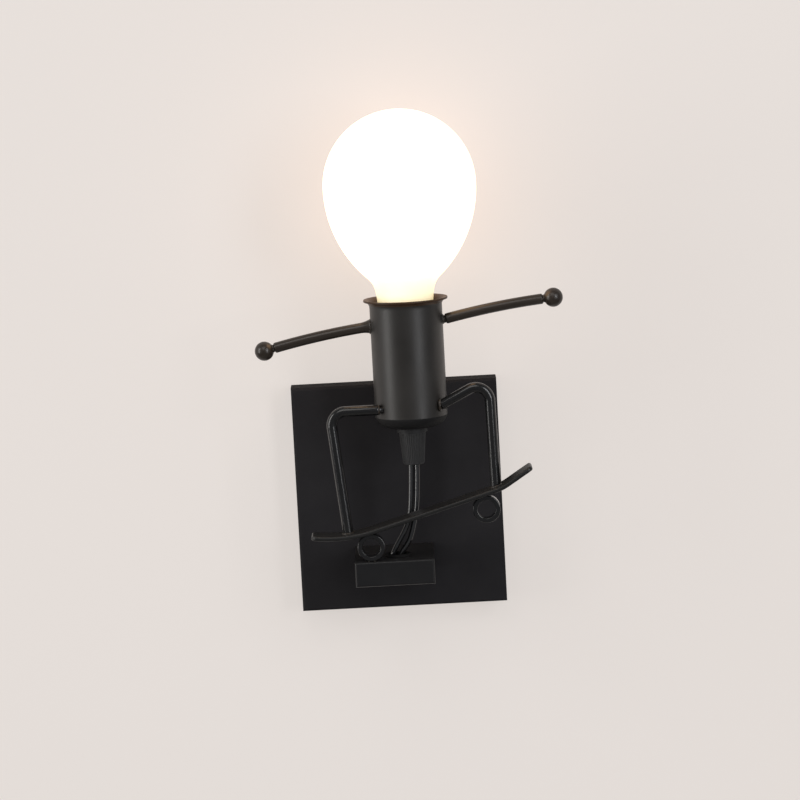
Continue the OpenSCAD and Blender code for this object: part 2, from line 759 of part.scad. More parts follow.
// Everything below the top of the deck, where the feet are cut off.
module below_deck_top() {
    top = deck_line(-deck_t / 2);
    along_deck(3 * rod_d) polygon(concat(top, [top[len(top) - 1] - [0, deck_len], top[0] - [0, deck_len]]));
}

module leg(hip, knee, foot) {
    color(paint) difference() {
        bent_rod(hip, knee, foot, knee_r, leg_y);
        below_deck_top();
        cup_core();
    }
}

module left_leg() {
    leg([axis_x - hip_out, hip_z], knee_left, deck_point(-straight_end - foot_left_out, rod_d));
}

module right_leg() {
    leg([axis_x + hip_out, hip_z], knee_right, deck_point(straight_end - foot_right_in, rod_d));
}

// An arm is an arc that is highest in its middle: a is its slope at the cup, and side is -1 for the left.
function arm_middle(side, h, a) = [axis_x + side * cup_r, cup_base_z + h] + arm_curve_r * turn(a);
function arm_turn(length) = length / arm_curve_r * 180 / PI;
function hand_place(side, h, a, length) =
    arm_middle(side, h, a) - arm_curve_r * turn(a - side * arm_turn(length));
left_hand_place = hand_place(-1, shoulder_left_h, arm_left_slope, arm_left_len);
right_hand_place = hand_place(1, shoulder_right_h, arm_right_slope, arm_right_len);

module hand_ball(place) {
    translate([place.x, axis_y, place.y]) sphere(d = hand_d);
}

// The arm starts inside the cup by its own thickness, and both its ends are cut to what they meet.
module arm(side, h, a, length, place) {
    inside = side * arm_turn(rod_d);
    outside = side * arm_turn(length);
    color(paint) difference() {
        rod_arc(arm_middle(side, h, a), arm_curve_r, rod_d, axis_y,
            90 + a + min(inside, -outside), 90 + a + max(inside, -outside));
        cup_core();
        hand_ball(place);
    }
}

module left_arm() {
    arm(-1, shoulder_left_h, arm_left_slope, arm_left_len, left_hand_place);
}

module right_arm() {
    arm(1, shoulder_right_h, arm_right_slope, arm_right_len, right_hand_place);
}

module left_hand() {
    color(paint) hand_ball(left_hand_place);
}

module right_hand() {
    color(paint) hand_ball(right_hand_place);
}

// Outside of the cup from its hole to its rim, or its inside when taken in by the sheet's thickness.
function cup_side(inset) =
    let (
        bend_r = round_r - inset,
        bend = asin((cup_r - inset - pad_r) / bend_r),
        lip_r = rim_flare + inset,
        lip_z = rim_z - cup_base_z - rim_flare - cup_t
    )
    concat(
        [[nipple_hole_d / 2, inset]],
        [for (i = [0 : round_steps]) let (a = bend * i / round_steps)
            [pad_r + bend_r * sin(a), round_r - bend_r * cos(a)]],
        [for (i = [0 : rim_steps]) let (a = 90 * i / rim_steps)
            [rim_r - lip_r * cos(a), lip_z + lip_r * sin(a)]]
    );

module lamp_cup() {
    color(paint) on_axis(cup_base_z) rotate_extrude()
        polygon(concat(cup_side(0), reversed(cup_side(cup_t))));
}

// Cord grip and fixing of the lampholder.
module base_collar() {
    color(paint) on_axis(collar_z) difference() {
        cylinder(h = collar_t, d = collar_d);
        translate([0, 0, -cut]) cylinder(h = collar_t + 2 * cut, d = nipple_hole_d);
    }
}

module strain_relief() {
    color(rubber) on_axis(relief_z) difference() {
        cylinder(h = relief_len, d1 = relief_tip_d, d2 = relief_top_d);
        translate([0, 0, -cut]) cylinder(h = relief_len + 2 * cut, d = wire_bore);
        translate([0, 0, relief_len - nipple_low]) cylinder(h = nipple_low + cut, d = nipple_hole_d);
    }
}

module hollow_nipple() {
    color(steel) on_axis(nipple_z) difference() {
        cylinder(h = nipple_top_z - nipple_z, d = nipple_d);
        translate([0, 0, -cut]) cylinder(h = nipple_top_z - nipple_z + 2 * cut, d = wire_bore);
    }
}

module lock_nut() {
    color(steel) on_axis(nut_z) difference() {
        cylinder(h = nut_t, d = nut_af / cos(30), $fn = 6);
        translate([0, 0, -cut]) cylinder(h = nut_t + 2 * cut, d = nipple_hole_d);
    }
}

// Lampholder.
module holder_base() {
    side_r = holder_d / 2;
    bore_r = nipple_hole_d / 2;
    cavity_top = nipple_grip + cavity_h;
    color("#1f1e1d") on_axis(holder_z) rotate_extrude() polygon([
        [bore_r, 0], [side_r - holder_taper, 0], [side_r, holder_taper_h], [side_r, holder_base_h],
        [0, holder_base_h], [0, cavity_top], [cavity_d / 2, cavity_top], [cavity_d / 2, nipple_grip],
        [bore_r, nipple_grip],
    ]);
}

module holder_sleeve() {
    color("#1f1e1d") on_axis(holder_top_z) difference() {
        cylinder(h = sleeve_h, d = holder_d);
        translate([0, 0, -cut]) cylinder(h = sleeve_h + 2 * cut, d = sleeve_bore);
    }
}

// Pressed brass tube with the female thread inside.
module screw_shell() {
    root_r = cap_d / 2 + thread_gap;
    low = holder_top_z + shell_plain_h;
    high = holder_top_z + shell_h - shell_lip_h;
    step = thread_pitch / thread_steps;
    heights = [holder_top_z, for (z = [low : step : high]) z, holder_top_z + shell_h];
    inner = [for (z = heights) [for (i = [0 : thread_sides - 1])
        let (
            a = 360 * i / thread_sides,
            r = root_r - thread_share(z, low, high) * (thread_depth - thread_at(z, a))
        )
        [r * cos(a), r * sin(a), z]]];
    outer = [for (z = [holder_top_z + shell_h, holder_top_z]) circle_at(root_r + shell_wall, z)];
    color(brass) on_axis(0) loft_ring(concat(inner, outer));
}

// Springy brass tongue under the bulb's contact.
module centre_contact() {
    color(brass) on_axis(holder_top_z) translate([-leaf_w / 2, -leaf_back, 0]) {
        cube([leaf_w, leaf_len, leaf_t]);
        cube([leaf_w, leaf_t, leaf_rise]);
        translate([0, 0, leaf_rise - leaf_t]) cube([leaf_w, leaf_tip, leaf_t]);
    }
}

module holder_terminals() {
    color(brass) for (side = [-1, 1])
        on_axis(cavity_z - terminal_size.z) translate([side * terminal_x, 0, 0]) difference() {
            translate([-terminal_size.x / 2, -terminal_size.y / 2, 0]) cube(terminal_size);
            translate([0, 0, terminal_size.z / 2]) facing_front()
                cylinder(h = terminal_size.y, d = small_hole_d, center = true);
        }
}

module holder_terminal_screws() {
    color(steel) for (side = [-1, 1])
        on_axis(cavity_z - terminal_size.z / 2) translate([side * terminal_x, -terminal_size.y / 2, 0])
            facing_front() slotted_screw(small_screw_d, terminal_size.y - cut);
}

module wire_line() {
    color(rubber) wire(line_route);
}

module wire_neutral() {
    color(rubber) wire(neutral_route);
}

// Bulb. The outline of the globe runs from its lower edge to its crown, taken in by the wall inside.
function globe_outline(inset) =
    let (
        r = globe_d / 2,
        neck_r = neck_top_d / 2,
        join = asin((globe_mid_h - neck_h - flare_h) / globe_side_r),
        join_r = r - globe_side_r * (1 - cos(join)),
        flare_r = neck_r + (join_r - neck_r) * flare_share
    )
    concat(
        [[neck_d / 2 - inset, 0], [neck_r - inset, neck_h], [flare_r - inset, neck_h + flare_h / 2]],
        [for (i = [0 : globe_points]) let (a = join * (1 - i / globe_points))
            [r - globe_side_r + (globe_side_r - inset) * cos(a),
                globe_mid_h - (globe_side_r - inset) * sin(a)]],
        [for (i = [1 : globe_points - 1]) let (a = 90 * i / globe_points)
            (r - inset) * [cos(a), 0] + [0, globe_mid_h + (r - inset) * sin(a)]],
        [[0, globe_mid_h + r - inset]]
    );

module bulb_globe() {
    color("#fff6e6") on_axis(globe_z) rotate_extrude() difference() {
        polygon(concat([[0, 0]], globe_outline(0)));
        polygon(concat([[0, -cut], [neck_d / 2 - globe_wall, -cut]], globe_outline(globe_wall)));
    }
}

module bulb_cap() {
    root_r = cap_d / 2 - thread_depth;
    high = cap_top_z - cap_plain_h;
    step = thread_pitch / thread_steps;
    heights = [cap_z, for (z = [cap_z + step : step : high]) z, cap_top_z];
    outer = [for (z = heights) [for (i = [0 : thread_sides - 1])
        let (
            a = 360 * i / thread_sides,
            r = root_r + thread_share(z, cap_z, high) * thread_at(z, a)
        )
        [r * cos(a), r * sin(a), z]]];
    inner = [for (z = [cap_top_z, cap_z]) circle_at(cap_bore / 2, z)];
    color(steel) on_axis(0) loft_ring(concat(inner, outer));
}

module cap_insulator() {
    nose = cap_nose_h - contact_t;
    color("#141414") on_axis(cap_z - nose) cylinder(h = nose, d1 = insulator_d, d2 = cap_bore);
}

module cap_contact() {
    color(steel) on_axis(contact_z) cylinder(h = contact_t, d = contact_d);
}

module driver_housing() {
    color("#efece4") on_axis(cap_top_z) cylinder(h = housing_h, d = housing_d);
}

module driver_board() {
    color("#2f6b45") on_axis(cap_z + driver_low)
        translate([-driver_w / 2, -driver_t / 2, 0]) cube([driver_w, driver_t, cap_h - driver_low]);
}

module led_plate() {
    color(steel) on_axis(led_z) cylinder(h = led_plate_t, d = housing_d);
}

module led_chips() {
    color("#f3e7a5") on_axis(led_z + led_plate_t) for (i = [0 : led_count - 1])
        rotate(360 * i / led_count) translate([housing_d / 3, 0, 0])
            linear_extrude(led_h) square(led_size, center = true);
}

mounting_crossbar();
canopy();
canopy_screws();
earth_screw();
earth_washer();
terminal_block();
terminal_inserts();
terminal_screws();
terminal_block_screw();
canopy_bush();
ledge_box();
ledge_back_plate();
ledge_screws();
ledge_grommet();
wheel_left_ring();
wheel_right_ring();
deck();
left_leg();
right_leg();
lamp_cup();
left_arm();
right_arm();
left_hand();
right_hand();
base_collar();
strain_relief();
hollow_nipple();
lock_nut();
holder_base();
holder_sleeve();
screw_shell();
centre_contact();
holder_terminals();
holder_terminal_screws();
wire_line();
wire_neutral();
bulb_globe();
bulb_cap();
cap_insulator();
cap_contact();
driver_housing();
driver_board();
led_plate();
led_chips();
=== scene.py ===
import math

import bmesh
import bpy
from mathutils import Matrix, Vector


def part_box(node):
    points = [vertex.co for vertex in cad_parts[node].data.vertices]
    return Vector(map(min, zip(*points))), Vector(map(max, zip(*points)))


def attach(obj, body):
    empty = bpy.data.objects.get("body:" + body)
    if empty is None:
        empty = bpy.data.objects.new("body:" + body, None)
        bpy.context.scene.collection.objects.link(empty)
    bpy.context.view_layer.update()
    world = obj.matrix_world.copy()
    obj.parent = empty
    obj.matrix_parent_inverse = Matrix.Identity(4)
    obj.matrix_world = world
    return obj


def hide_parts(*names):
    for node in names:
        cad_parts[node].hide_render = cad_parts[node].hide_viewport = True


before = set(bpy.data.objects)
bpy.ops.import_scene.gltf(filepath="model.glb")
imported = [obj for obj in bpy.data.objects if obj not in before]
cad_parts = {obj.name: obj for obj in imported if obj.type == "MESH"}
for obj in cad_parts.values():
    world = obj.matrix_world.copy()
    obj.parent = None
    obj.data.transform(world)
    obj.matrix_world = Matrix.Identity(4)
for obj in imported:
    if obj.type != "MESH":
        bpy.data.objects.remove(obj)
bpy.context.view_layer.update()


# Camera. It stands a little over two metres before the wall, above the bulb, looks down on the lamp
# and is tilted a few degrees, as the photograph is.
camera_data = bpy.data.cameras.new("camera")
camera_data.lens = 168.9
camera_data.sensor_width = 36.0
camera_data.clip_end = 50.0
camera = bpy.data.objects.new("camera", camera_data)
camera_place = (0.0079, -2.188, 0.334)
pan, pitch, roll = math.radians(0.12), math.radians(82.7), math.radians(-3.05)
camera.matrix_world = (
    Matrix.Translation(camera_place)
    @ Matrix.Rotation(pan, 4, "Z")
    @ Matrix.Rotation(pitch, 4, "X")
    @ Matrix.Rotation(roll, 4, "Z")
)
bpy.context.scene.collection.objects.link(camera)
bpy.context.scene.camera = camera
bpy.context.scene.view_settings.view_transform = "Standard"


# Wires. Two single flexible wires in glossy black sleeving run from the lampholder down through the
# strain relief and behind the board, and go through the ledge and the canopy to the terminal block.
noise_low, noise_high = 0.3, 0.7  # nearly all of a noise lies between these


def new_finish(name):
    material = bpy.data.materials.new(name)
    material.use_nodes = True
    return material


def shader(material):
    """Sockets of a finish's own shader."""
    return material.node_tree.nodes["Principled BSDF"].inputs


def surface_noise(material, scale, detail=3.0, stretch=(1.0, 1.0, 1.0)):
    nodes, links = material.node_tree.nodes, material.node_tree.links
    place = nodes.new("ShaderNodeTexCoord")
    mapping = nodes.new("ShaderNodeMapping")
    mapping.inputs["Scale"].default_value = stretch
    noise = nodes.new("ShaderNodeTexNoise")
    noise.inputs["Scale"].default_value = scale
    noise.inputs["Detail"].default_value = detail
    links.new(place.outputs["Object"], mapping.inputs["Vector"])
    links.new(mapping.outputs["Vector"], noise.inputs["Vector"])
    return noise.outputs["Fac"]


def tint(material, noise, dark, light):
    """Lets a noise vary the colour."""
    ramp = material.node_tree.nodes.new("ShaderNodeValToRGB")
    for element, position, colour in zip(ramp.color_ramp.elements, (noise_low, noise_high), (dark, light)):
        element.position = position
        element.color = (*colour, 1.0)
    material.node_tree.links.new(noise, ramp.inputs["Fac"])
    material.node_tree.links.new(ramp.outputs["Color"], shader(material)["Base Color"])


def polish(material, noise, smooth, rough):
    """Lets a noise vary the roughness."""
    spread = material.node_tree.nodes.new("ShaderNodeMapRange")
    spread.inputs["From Min"].default_value = noise_low
    spread.inputs["From Max"].default_value = noise_high
    spread.inputs["To Min"].default_value = smooth
    spread.inputs["To Max"].default_value = rough
    material.node_tree.links.new(noise, spread.inputs["Value"])
    material.node_tree.links.new(spread.outputs["Result"], shader(material)["Roughness"])


def bump(material, height, depth, strength=1.0):
    node = material.node_tree.nodes.new("ShaderNodeBump")
    node.inputs["Strength"].default_value = strength
    node.inputs["Distance"].default_value = depth
    material.node_tree.links.new(height, node.inputs["Height"])
    material.node_tree.links.new(node.outputs["Normal"], shader(material)["Normal"])


sleeving = new_finish("glossy_black_sleeving")
drag_marks = surface_noise(sleeving, 420.0, 2.0, (1.0, 1.0, 0.08))
tint(sleeving, drag_marks, (0.005, 0.005, 0.0055), (0.009, 0.009, 0.0095))
polish(sleeving, drag_marks, 0.08, 0.13)
shader(sleeving)["Specular IOR Level"].default_value = 0.9

wire_r = 0.0015
wire_routes = {
    "wire_line": [
        (7.8, -58, 66), (7.8, -58, 59), (7.8, -58, 52), (7.8, -58, 45), (7.8, -58, 38), (7.8, -58, 31),
        (7.8, -58, 24), (7.5, -58, 17), (7.1, -58, 10), (6.6, -58, 3), (5.8, -58, -4), (4.1, -58, -10),
        (1.5, -58, -15.5), (-1.4, -58, -20.5), (-4, -58, -25), (-5.5, -58, -29), (-6, -57, -32.5),
        (-6.2, -54, -35), (-6.2, -49.5, -35.7), (-6.2, -43, -35.7), (-6.2, -36, -35.7), (-6.2, -29, -35.7),
        (-6.2, -22, -35.7), (-6.2, -16, -35.4), (-6.1, -11.5, -33), (-5.7, -8.8, -28.5), (-5, -8, -22.5),
        (-4.6, -8, -16), (-4.5, -8, -9), (-4.5, -8, -2),
    ],
    "wire_neutral": [
        (11.2, -58, 66), (11.2, -58, 59), (11.2, -58, 52), (11.2, -58, 45), (11.2, -58, 38), (11.2, -58, 31),
        (11.2, -58, 24), (11, -58, 17), (10.6, -58, 10), (10.1, -58, 3), (9.2, -58, -4), (7.8, -58, -10),
        (6.4, -58, -15.5), (4.7, -58, -20), (2.3, -58, -23.8), (0, -58, -27), (-1.5, -58, -30),
        (-2.3, -57, -33), (-2.7, -54, -35), (-2.8, -49.5, -35.7), (-2.8, -43, -35.7), (-2.8, -36, -35.7),
        (-2.8, -29, -35.7), (-2.8, -22, -35.7), (-2.8, -16, -35.4), (-2.4, -11.5, -33), (-0.8, -8.8, -28.5),
        (1.8, -8, -22.5), (4, -8, -16), (4.5, -8, -9), (4.5, -8, -2),
    ],
}
for wire_name, route in wire_routes.items():
    points = [Vector(p) / 1000.0 for p in route]
    data = bpy.data.curves.new(wire_name + "_sleeved", "CURVE")
    data.dimensions = "3D"
    data.bevel_depth = wire_r
    data.bevel_resolution = 5
    data.resolution_u = 6
    data.use_fill_caps = True
    spline = data.splines.new("BEZIER")
    spline.bezier_points.add(len(points) - 1)
    for knot, p in zip(spline.bezier_points, points):
        knot.co = p
        knot.handle_left_type = knot.handle_right_type = "AUTO"
    wire = bpy.data.objects.new(wire_name + "_sleeved", data)
    bpy.context.scene.collection.objects.link(wire)
    data.materials.append(sleeving)
    length = sum((b - a).length for a, b in zip(points, points[1:]))
    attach(wire, "fixture")
    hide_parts(wire_name)


# Wall and floor of the studio, both pale, and the soft lamps at the left, at the right and above that
# light the black coat. The lamp hangs 1.7 m above the floor. The wall's even glow, seen by camera and glossy
# rays, fades towards the floor: painted shade on the lower wall.
# The wall is open behind the canopy, where a fourth lamp shows the fittings in it.
def stage_plane(name, corners, faces, material):
    mesh = bpy.data.meshes.new(name)
    mesh.from_pydata(corners, [], faces)
    mesh.materials.append(material)
    plane = bpy.data.objects.new(name, mesh)
    bpy.context.scene.collection.objects.link(plane)


def reckoned(tree, operation, first, second, clamp=False):
    """Result of a math node on two values, each a socket or a plain number."""
    node = tree.nodes.new("ShaderNodeMath")
    node.operation = operation
    node.use_clamp = clamp
    for socket, value in zip(node.inputs, (first, second)):
        if isinstance(value, float):
            socket.default_value = value
        else:
            tree.links.new(value, socket)
    return node.outputs["Value"]


def by_height(material, low, high, at_low=0.0, at_high=1.0, curve="LINEAR"):
    """Value that goes over from one number to another between two heights in metres."""
    nodes, links = material.node_tree.nodes, material.node_tree.links
    place = nodes.new("ShaderNodeTexCoord")
    parts = nodes.new("ShaderNodeSeparateXYZ")
    spread = nodes.new("ShaderNodeMapRange")
    spread.interpolation_type = curve
    spread.inputs["From Min"].default_value = low
    spread.inputs["From Max"].default_value = high
    spread.inputs["To Min"].default_value = at_low
    spread.inputs["To Max"].default_value = at_high
    links.new(place.outputs["Object"], parts.inputs["Vector"])
    links.new(parts.outputs["Z"], spread.inputs["Value"])
    return spread.outputs["Result"]


wall_paint = new_finish("pale_wall_paint")
tint(wall_paint, surface_noise(wall_paint, 3.0), (0.194, 0.182, 0.175), (0.200, 0.188, 0.181))
shader(wall_paint)["Roughness"].default_value = 0.9
shader(wall_paint)["Specular IOR Level"].default_value = 0.1
wall_tree = wall_paint.node_tree
ray = wall_tree.nodes.new("ShaderNodeLightPath").outputs
looked_at = reckoned(wall_tree, "ADD", ray["Is Camera Ray"], ray["Is Glossy Ray"])
seen = reckoned(wall_tree, "ADD", looked_at, ray["Is Transmission Ray"], clamp=True)
# The wall's glow fades out below -0.19 m. This is painted shade on the lower wall, which the cup's underside
# reflects.
glow_fading_to_painted_shade = by_height(wall_paint, -0.65, -0.19, 0.1, 0.594, "SMOOTHSTEP")
shader(wall_paint)["Emission Color"].default_value = (1.0, 0.932, 0.884, 1.0)
wall_tree.links.new(reckoned(wall_tree, "MULTIPLY", seen, glow_fading_to_painted_shade), shader(wall_paint)["Emission Strength"])
clear = wall_tree.nodes.new("ShaderNodeBsdfTransparent")
side = wall_tree.nodes.new("ShaderNodeNewGeometry")
choose = wall_tree.nodes.new("ShaderNodeMixShader")
wall_tree.links.new(side.outputs["Backfacing"], choose.inputs["Fac"])
wall_tree.links.new(wall_tree.nodes["Principled BSDF"].outputs["BSDF"], choose.inputs[1])
wall_tree.links.new(clear.outputs["BSDF"], choose.inputs[2])
wall_tree.links.new(choose.outputs["Shader"], wall_tree.nodes["Material Output"].inputs["Surface"])

floor_paint = new_finish("pale_floor_paint")
tint(floor_paint, surface_noise(floor_paint, 3.0), (0.55, 0.53, 0.51), (0.58, 0.56, 0.54))
shader(floor_paint)["Roughness"].default_value = 0.9

floor_z, floor_half, wall_half, wall_top, wall_y = -1.7, 4, 2.5, 2.5, 0.0005
hole_x, hole_z = 0.058, 0.064
stage_plane("studio_wall",
            [(-wall_half, wall_y, floor_z), (wall_half, wall_y, floor_z),
             (wall_half, wall_y, wall_top), (-wall_half, wall_y, wall_top),
             (-hole_x, wall_y, -hole_z), (hole_x, wall_y, -hole_z),
             (hole_x, wall_y, hole_z), (-hole_x, wall_y, hole_z)],
            [(k, (k + 1) % 4, 4 + (k + 1) % 4, 4 + k) for k in range(4)], wall_paint)
stage_plane("studio_floor",
            [(-floor_half, -floor_half, floor_z), (floor_half, -floor_half, floor_z),
             (floor_half, floor_half, floor_z), (-floor_half, floor_half, floor_z)],
            [(0, 1, 2, 3)], floor_paint)

world = bpy.data.worlds.new("studio")
world.use_nodes = True
world.node_tree.nodes["Background"].inputs["Color"].default_value = (0.95, 0.96, 1.0, 1.0)
world.node_tree.nodes["Background"].inputs["Strength"].default_value = 0.28
bpy.context.scene.world = world


def soft_lamp(name, place, target, size, power, colour):
    data = bpy.data.lights.new(name, "AREA")
    data.shape = "RECTANGLE"
    data.size, data.size_y = size
    data.energy = power
    data.color = colour
    lamp = bpy.data.objects.new(name, data)
    lamp.location = place
    lamp.rotation_euler = (Vector(target) - Vector(place)).to_track_quat("-Z", "Y").to_euler()
    bpy.context.scene.collection.objects.link(lamp)


soft_lamp("left_lamp", (-2.0, -0.92, 0.55), (0, -0.05, 0.08), (0.67, 1.9), 30.0, (1.0, 0.98, 0.95))
soft_lamp("right_lamp", (1.24, -1.76, 0.6), (0, -0.05, 0.08), (0.52, 1.56), 22.0, (0.97, 0.98, 1.0))
soft_lamp("upper_lamp", (-0.3, -1.5, 1.5), (0, -0.05, 0.05), (1.2, 1.0), 10.0, (1.0, 0.97, 0.93))
soft_lamp("lamp_behind", (0.5, 1.5, 0.9), (0, 0.0, 0.0), (1.2, 1.2), 30.0, (1.0, 0.99, 0.97))


# Crossbar with its earth screw and cup washer. A strip of zinc-plated steel with tapped bent ends is
# screwed to the wall, and the canopy is hung over it. The earth screw and washer are of brass.
def finish_nodes(material, *names):
    for name in names:
        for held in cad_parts[name].material_slots:
            held.material = material


zinc = new_finish("zinc_plate")
drawn = surface_noise(zinc, 1500.0, 2.0, (0.05, 1.0, 1.0))
tint(zinc, surface_noise(zinc, 160.0, 4.0), (0.50, 0.52, 0.56), (0.66, 0.65, 0.60))
polish(zinc, drawn, 0.28, 0.44)
shader(zinc)["Metallic"].default_value = 1.0
bump(zinc, drawn, 0.00003)
finish_nodes(zinc, "mounting_crossbar")

brass = new_finish("turned_brass")
tarnish = surface_noise(brass, 220.0, 4.0)
tint(brass, tarnish, (0.56, 0.37, 0.12), (0.78, 0.56, 0.24))
polish(brass, tarnish, 0.22, 0.40)
shader(brass)["Metallic"].default_value = 1.0
bump(brass, surface_noise(brass, 2400.0, 2.0), 0.00002)
finish_nodes(brass, "earth_screw", "earth_washer")


# Terminal block. An ivory nylon block is screwed to the crossbar and holds two brass tubes, in which
# plated screws clamp the wires.
nylon = new_finish("ivory_nylon")
flow = surface_noise(nylon, 130.0, 3.0)
tint(nylon, flow, (0.70, 0.66, 0.57), (0.80, 0.77, 0.69))
polish(nylon, flow, 0.42, 0.56)
shader(nylon)["Subsurface Weight"].default_value = 0.1
shader(nylon)["Subsurface Radius"].default_value = (0.0012, 0.001, 0.0008)
bump(nylon, surface_noise(nylon, 1800.0, 2.0), 0.00003)
finish_nodes(nylon, "terminal_block")
finish_nodes(brass, "terminal_inserts")
finish_nodes(zinc, "terminal_screws", "terminal_block_screw")


# Canopy. A shallow pan of folded and welded sheet steel in satin black powder coat covers the crossbar.
# Two slotted screws through its upper and lower wall hold it to the crossbar's ends.
def coat_group():
    """Powder coat with a cloudy colour and gloss, dust on what faces up, and the height of its grain."""
    group = bpy.data.node_groups.new("satin_coat", "ShaderNodeTree")
    for socket, kind in (("Dark", "Color"), ("Light", "Color"), ("Grain Scale", "Float"),
                         ("Smooth", "Float"), ("Rough", "Float"), ("Dust", "Float")):
        group.interface.new_socket(socket, in_out="INPUT", socket_type="NodeSocket" + kind)
    for socket, kind in (("Colour", "Color"), ("Roughness", "Float"), ("Height", "Float")):
        group.interface.new_socket(socket, in_out="OUTPUT", socket_type="NodeSocket" + kind)
    nodes, links = group.nodes, group.links
    taken = nodes.new("NodeGroupInput")
    given = nodes.new("NodeGroupOutput")
    place = nodes.new("ShaderNodeTexCoord")
    grain = nodes.new("ShaderNodeTexNoise")
    grain.inputs["Detail"].default_value = 3.0
    links.new(place.outputs["Object"], grain.inputs["Vector"])
    links.new(taken.outputs["Grain Scale"], grain.inputs["Scale"])
    film = nodes.new("ShaderNodeTexNoise")
    film.inputs["Scale"].default_value = 45.0
    film.inputs["Detail"].default_value = 4.0
    links.new(place.outputs["Object"], film.inputs["Vector"])
    cloud = nodes.new("ShaderNodeMapRange")
    gloss = nodes.new("ShaderNodeMapRange")
    for spread in (cloud, gloss):
        spread.inputs["From Min"].default_value = noise_low
        spread.inputs["From Max"].default_value = noise_high
        links.new(film.outputs["Fac"], spread.inputs["Value"])
    shade = nodes.new("ShaderNodeMix")
    shade.data_type = "RGBA"
    links.new(cloud.outputs["Result"], shade.inputs["Factor"])
    links.new(taken.outputs["Dark"], shade.inputs["A"])
    links.new(taken.outputs["Light"], shade.inputs["B"])
    facing = nodes.new("ShaderNodeNewGeometry")
    parts = nodes.new("ShaderNodeSeparateXYZ")
    links.new(facing.outputs["Normal"], parts.inputs["Vector"])
    upward = nodes.new("ShaderNodeMapRange")
    upward.inputs["From Min"].default_value = 0.55
    links.new(parts.outputs["Z"], upward.inputs["Value"])
    settled = reckoned(group, "MULTIPLY", upward.outputs["Result"], grain.outputs["Fac"])
    dusty = nodes.new("ShaderNodeMix")
    dusty.data_type = "RGBA"
    dusty.inputs["B"].default_value = (0.22, 0.20, 0.18, 1.0)
    links.new(reckoned(group, "MULTIPLY", settled, taken.outputs["Dust"]), dusty.inputs["Factor"])
    links.new(shade.outputs["Result"], dusty.inputs["A"])
    links.new(dusty.outputs["Result"], given.inputs["Colour"])
    links.new(taken.outputs["Smooth"], gloss.inputs["To Min"])
    links.new(taken.outputs["Rough"], gloss.inputs["To Max"])
    links.new(gloss.outputs["Result"], given.inputs["Roughness"])
    links.new(grain.outputs["Fac"], given.inputs["Height"])
    return group


satin_coat = coat_group()


def black_coat(name, dark, light, grain, gloss, dust, depth, shine):
    """Black powder coat: gloss is the range of its roughness, depth that of its grain in metres."""
    material = new_finish(name)
    coat = material.node_tree.nodes.new("ShaderNodeGroup")
    coat.node_tree = satin_coat
    for socket, value in (("Dark", (*dark, 1.0)), ("Light", (*light, 1.0)), ("Grain Scale", grain),
                          ("Smooth", gloss[0]), ("Rough", gloss[1]), ("Dust", dust)):
        coat.inputs[socket].default_value = value
    material.node_tree.links.new(coat.outputs["Colour"], shader(material)["Base Color"])
    material.node_tree.links.new(coat.outputs["Roughness"], shader(material)["Roughness"])
    shader(material)["Specular IOR Level"].default_value = shine
    bump(material, coat.outputs["Height"], depth, 0.6)
    return material


canopy_coat = black_coat("canopy_powder_coat", (0.0170, 0.0162, 0.0176), (0.0208, 0.0199, 0.0214),
                         grain=1500.0, gloss=(0.74, 0.86), dust=0.0, depth=0.00005, shine=0.06)
finish_nodes(canopy_coat, "canopy")


def rounded(corners, steps=5):
    """Closed outline through (r, z, fillet) corners, each rounded over the length of its fillet."""
    outline = []
    for before, corner, after in zip(corners[-1:] + corners[:-1], corners, corners[1:] + corners[:1]):
        p = Vector(corner[:2])
        if corner[2] == 0.0:
            outline.append(tuple(p))
            continue
        a = p + (Vector(before[:2]) - p).normalized() * corner[2]
        b = p + (Vector(after[:2]) - p).normalized() * corner[2]
        for k in range(steps + 1):
            t = k / steps
            outline.append(tuple(a * (1 - t) ** 2 + p * 2 * t * (1 - t) + b * t * t))
    return outline


def turned(outline, sides):
    """Shape of a closed outline of (radius, height) points in millimetres, turned round the Z axis."""
    shape = bmesh.new()
    angles = [2 * math.pi * k / sides for k in range(sides)]
    rings = []
    for r, z in outline:
        used = angles[:1] if r < 1e-6 else angles
        rings.append([shape.verts.new((r * math.cos(a), r * math.sin(a), z)) for a in used])
    for low, high in zip(rings, rings[1:] + rings[:1]):
        if len(low) == len(high) == 1:
            continue
        for k in range(sides):
            n = (k + 1) % sides
            around = (low[k % len(low)], low[n % len(low)], high[n % len(high)], high[k % len(high)])
            shape.faces.new(list(dict.fromkeys(around)))
    bmesh.ops.recalc_face_normals(shape, faces=shape.faces)
    return shape


def mesh_object(name, shape):
    """Object with the mesh of a shape, which is freed."""
    mesh = bpy.data.meshes.new(name)
    shape.to_mesh(mesh)
    shape.free()
    made = bpy.data.objects.new(name, mesh)
    bpy.context.scene.collection.objects.link(made)
    return made


def piece_from(name, shape, place, material, sharp=35.0):
    """Mesh object of a shape in millimetres, put at its place in metres and shaded smooth."""
    shape.transform(place @ Matrix.Scale(0.001, 4))
    piece = mesh_object(name, shape)
    piece.data.polygons.foreach_set("use_smooth", [True] * len(piece.data.polygons))
    piece.data.set_sharp_from_angle(angle=math.radians(sharp))
    piece.data.materials.append(material)
    return piece


def stand_for(piece, body, slot, *names):
    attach(piece, body)
    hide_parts(*names)


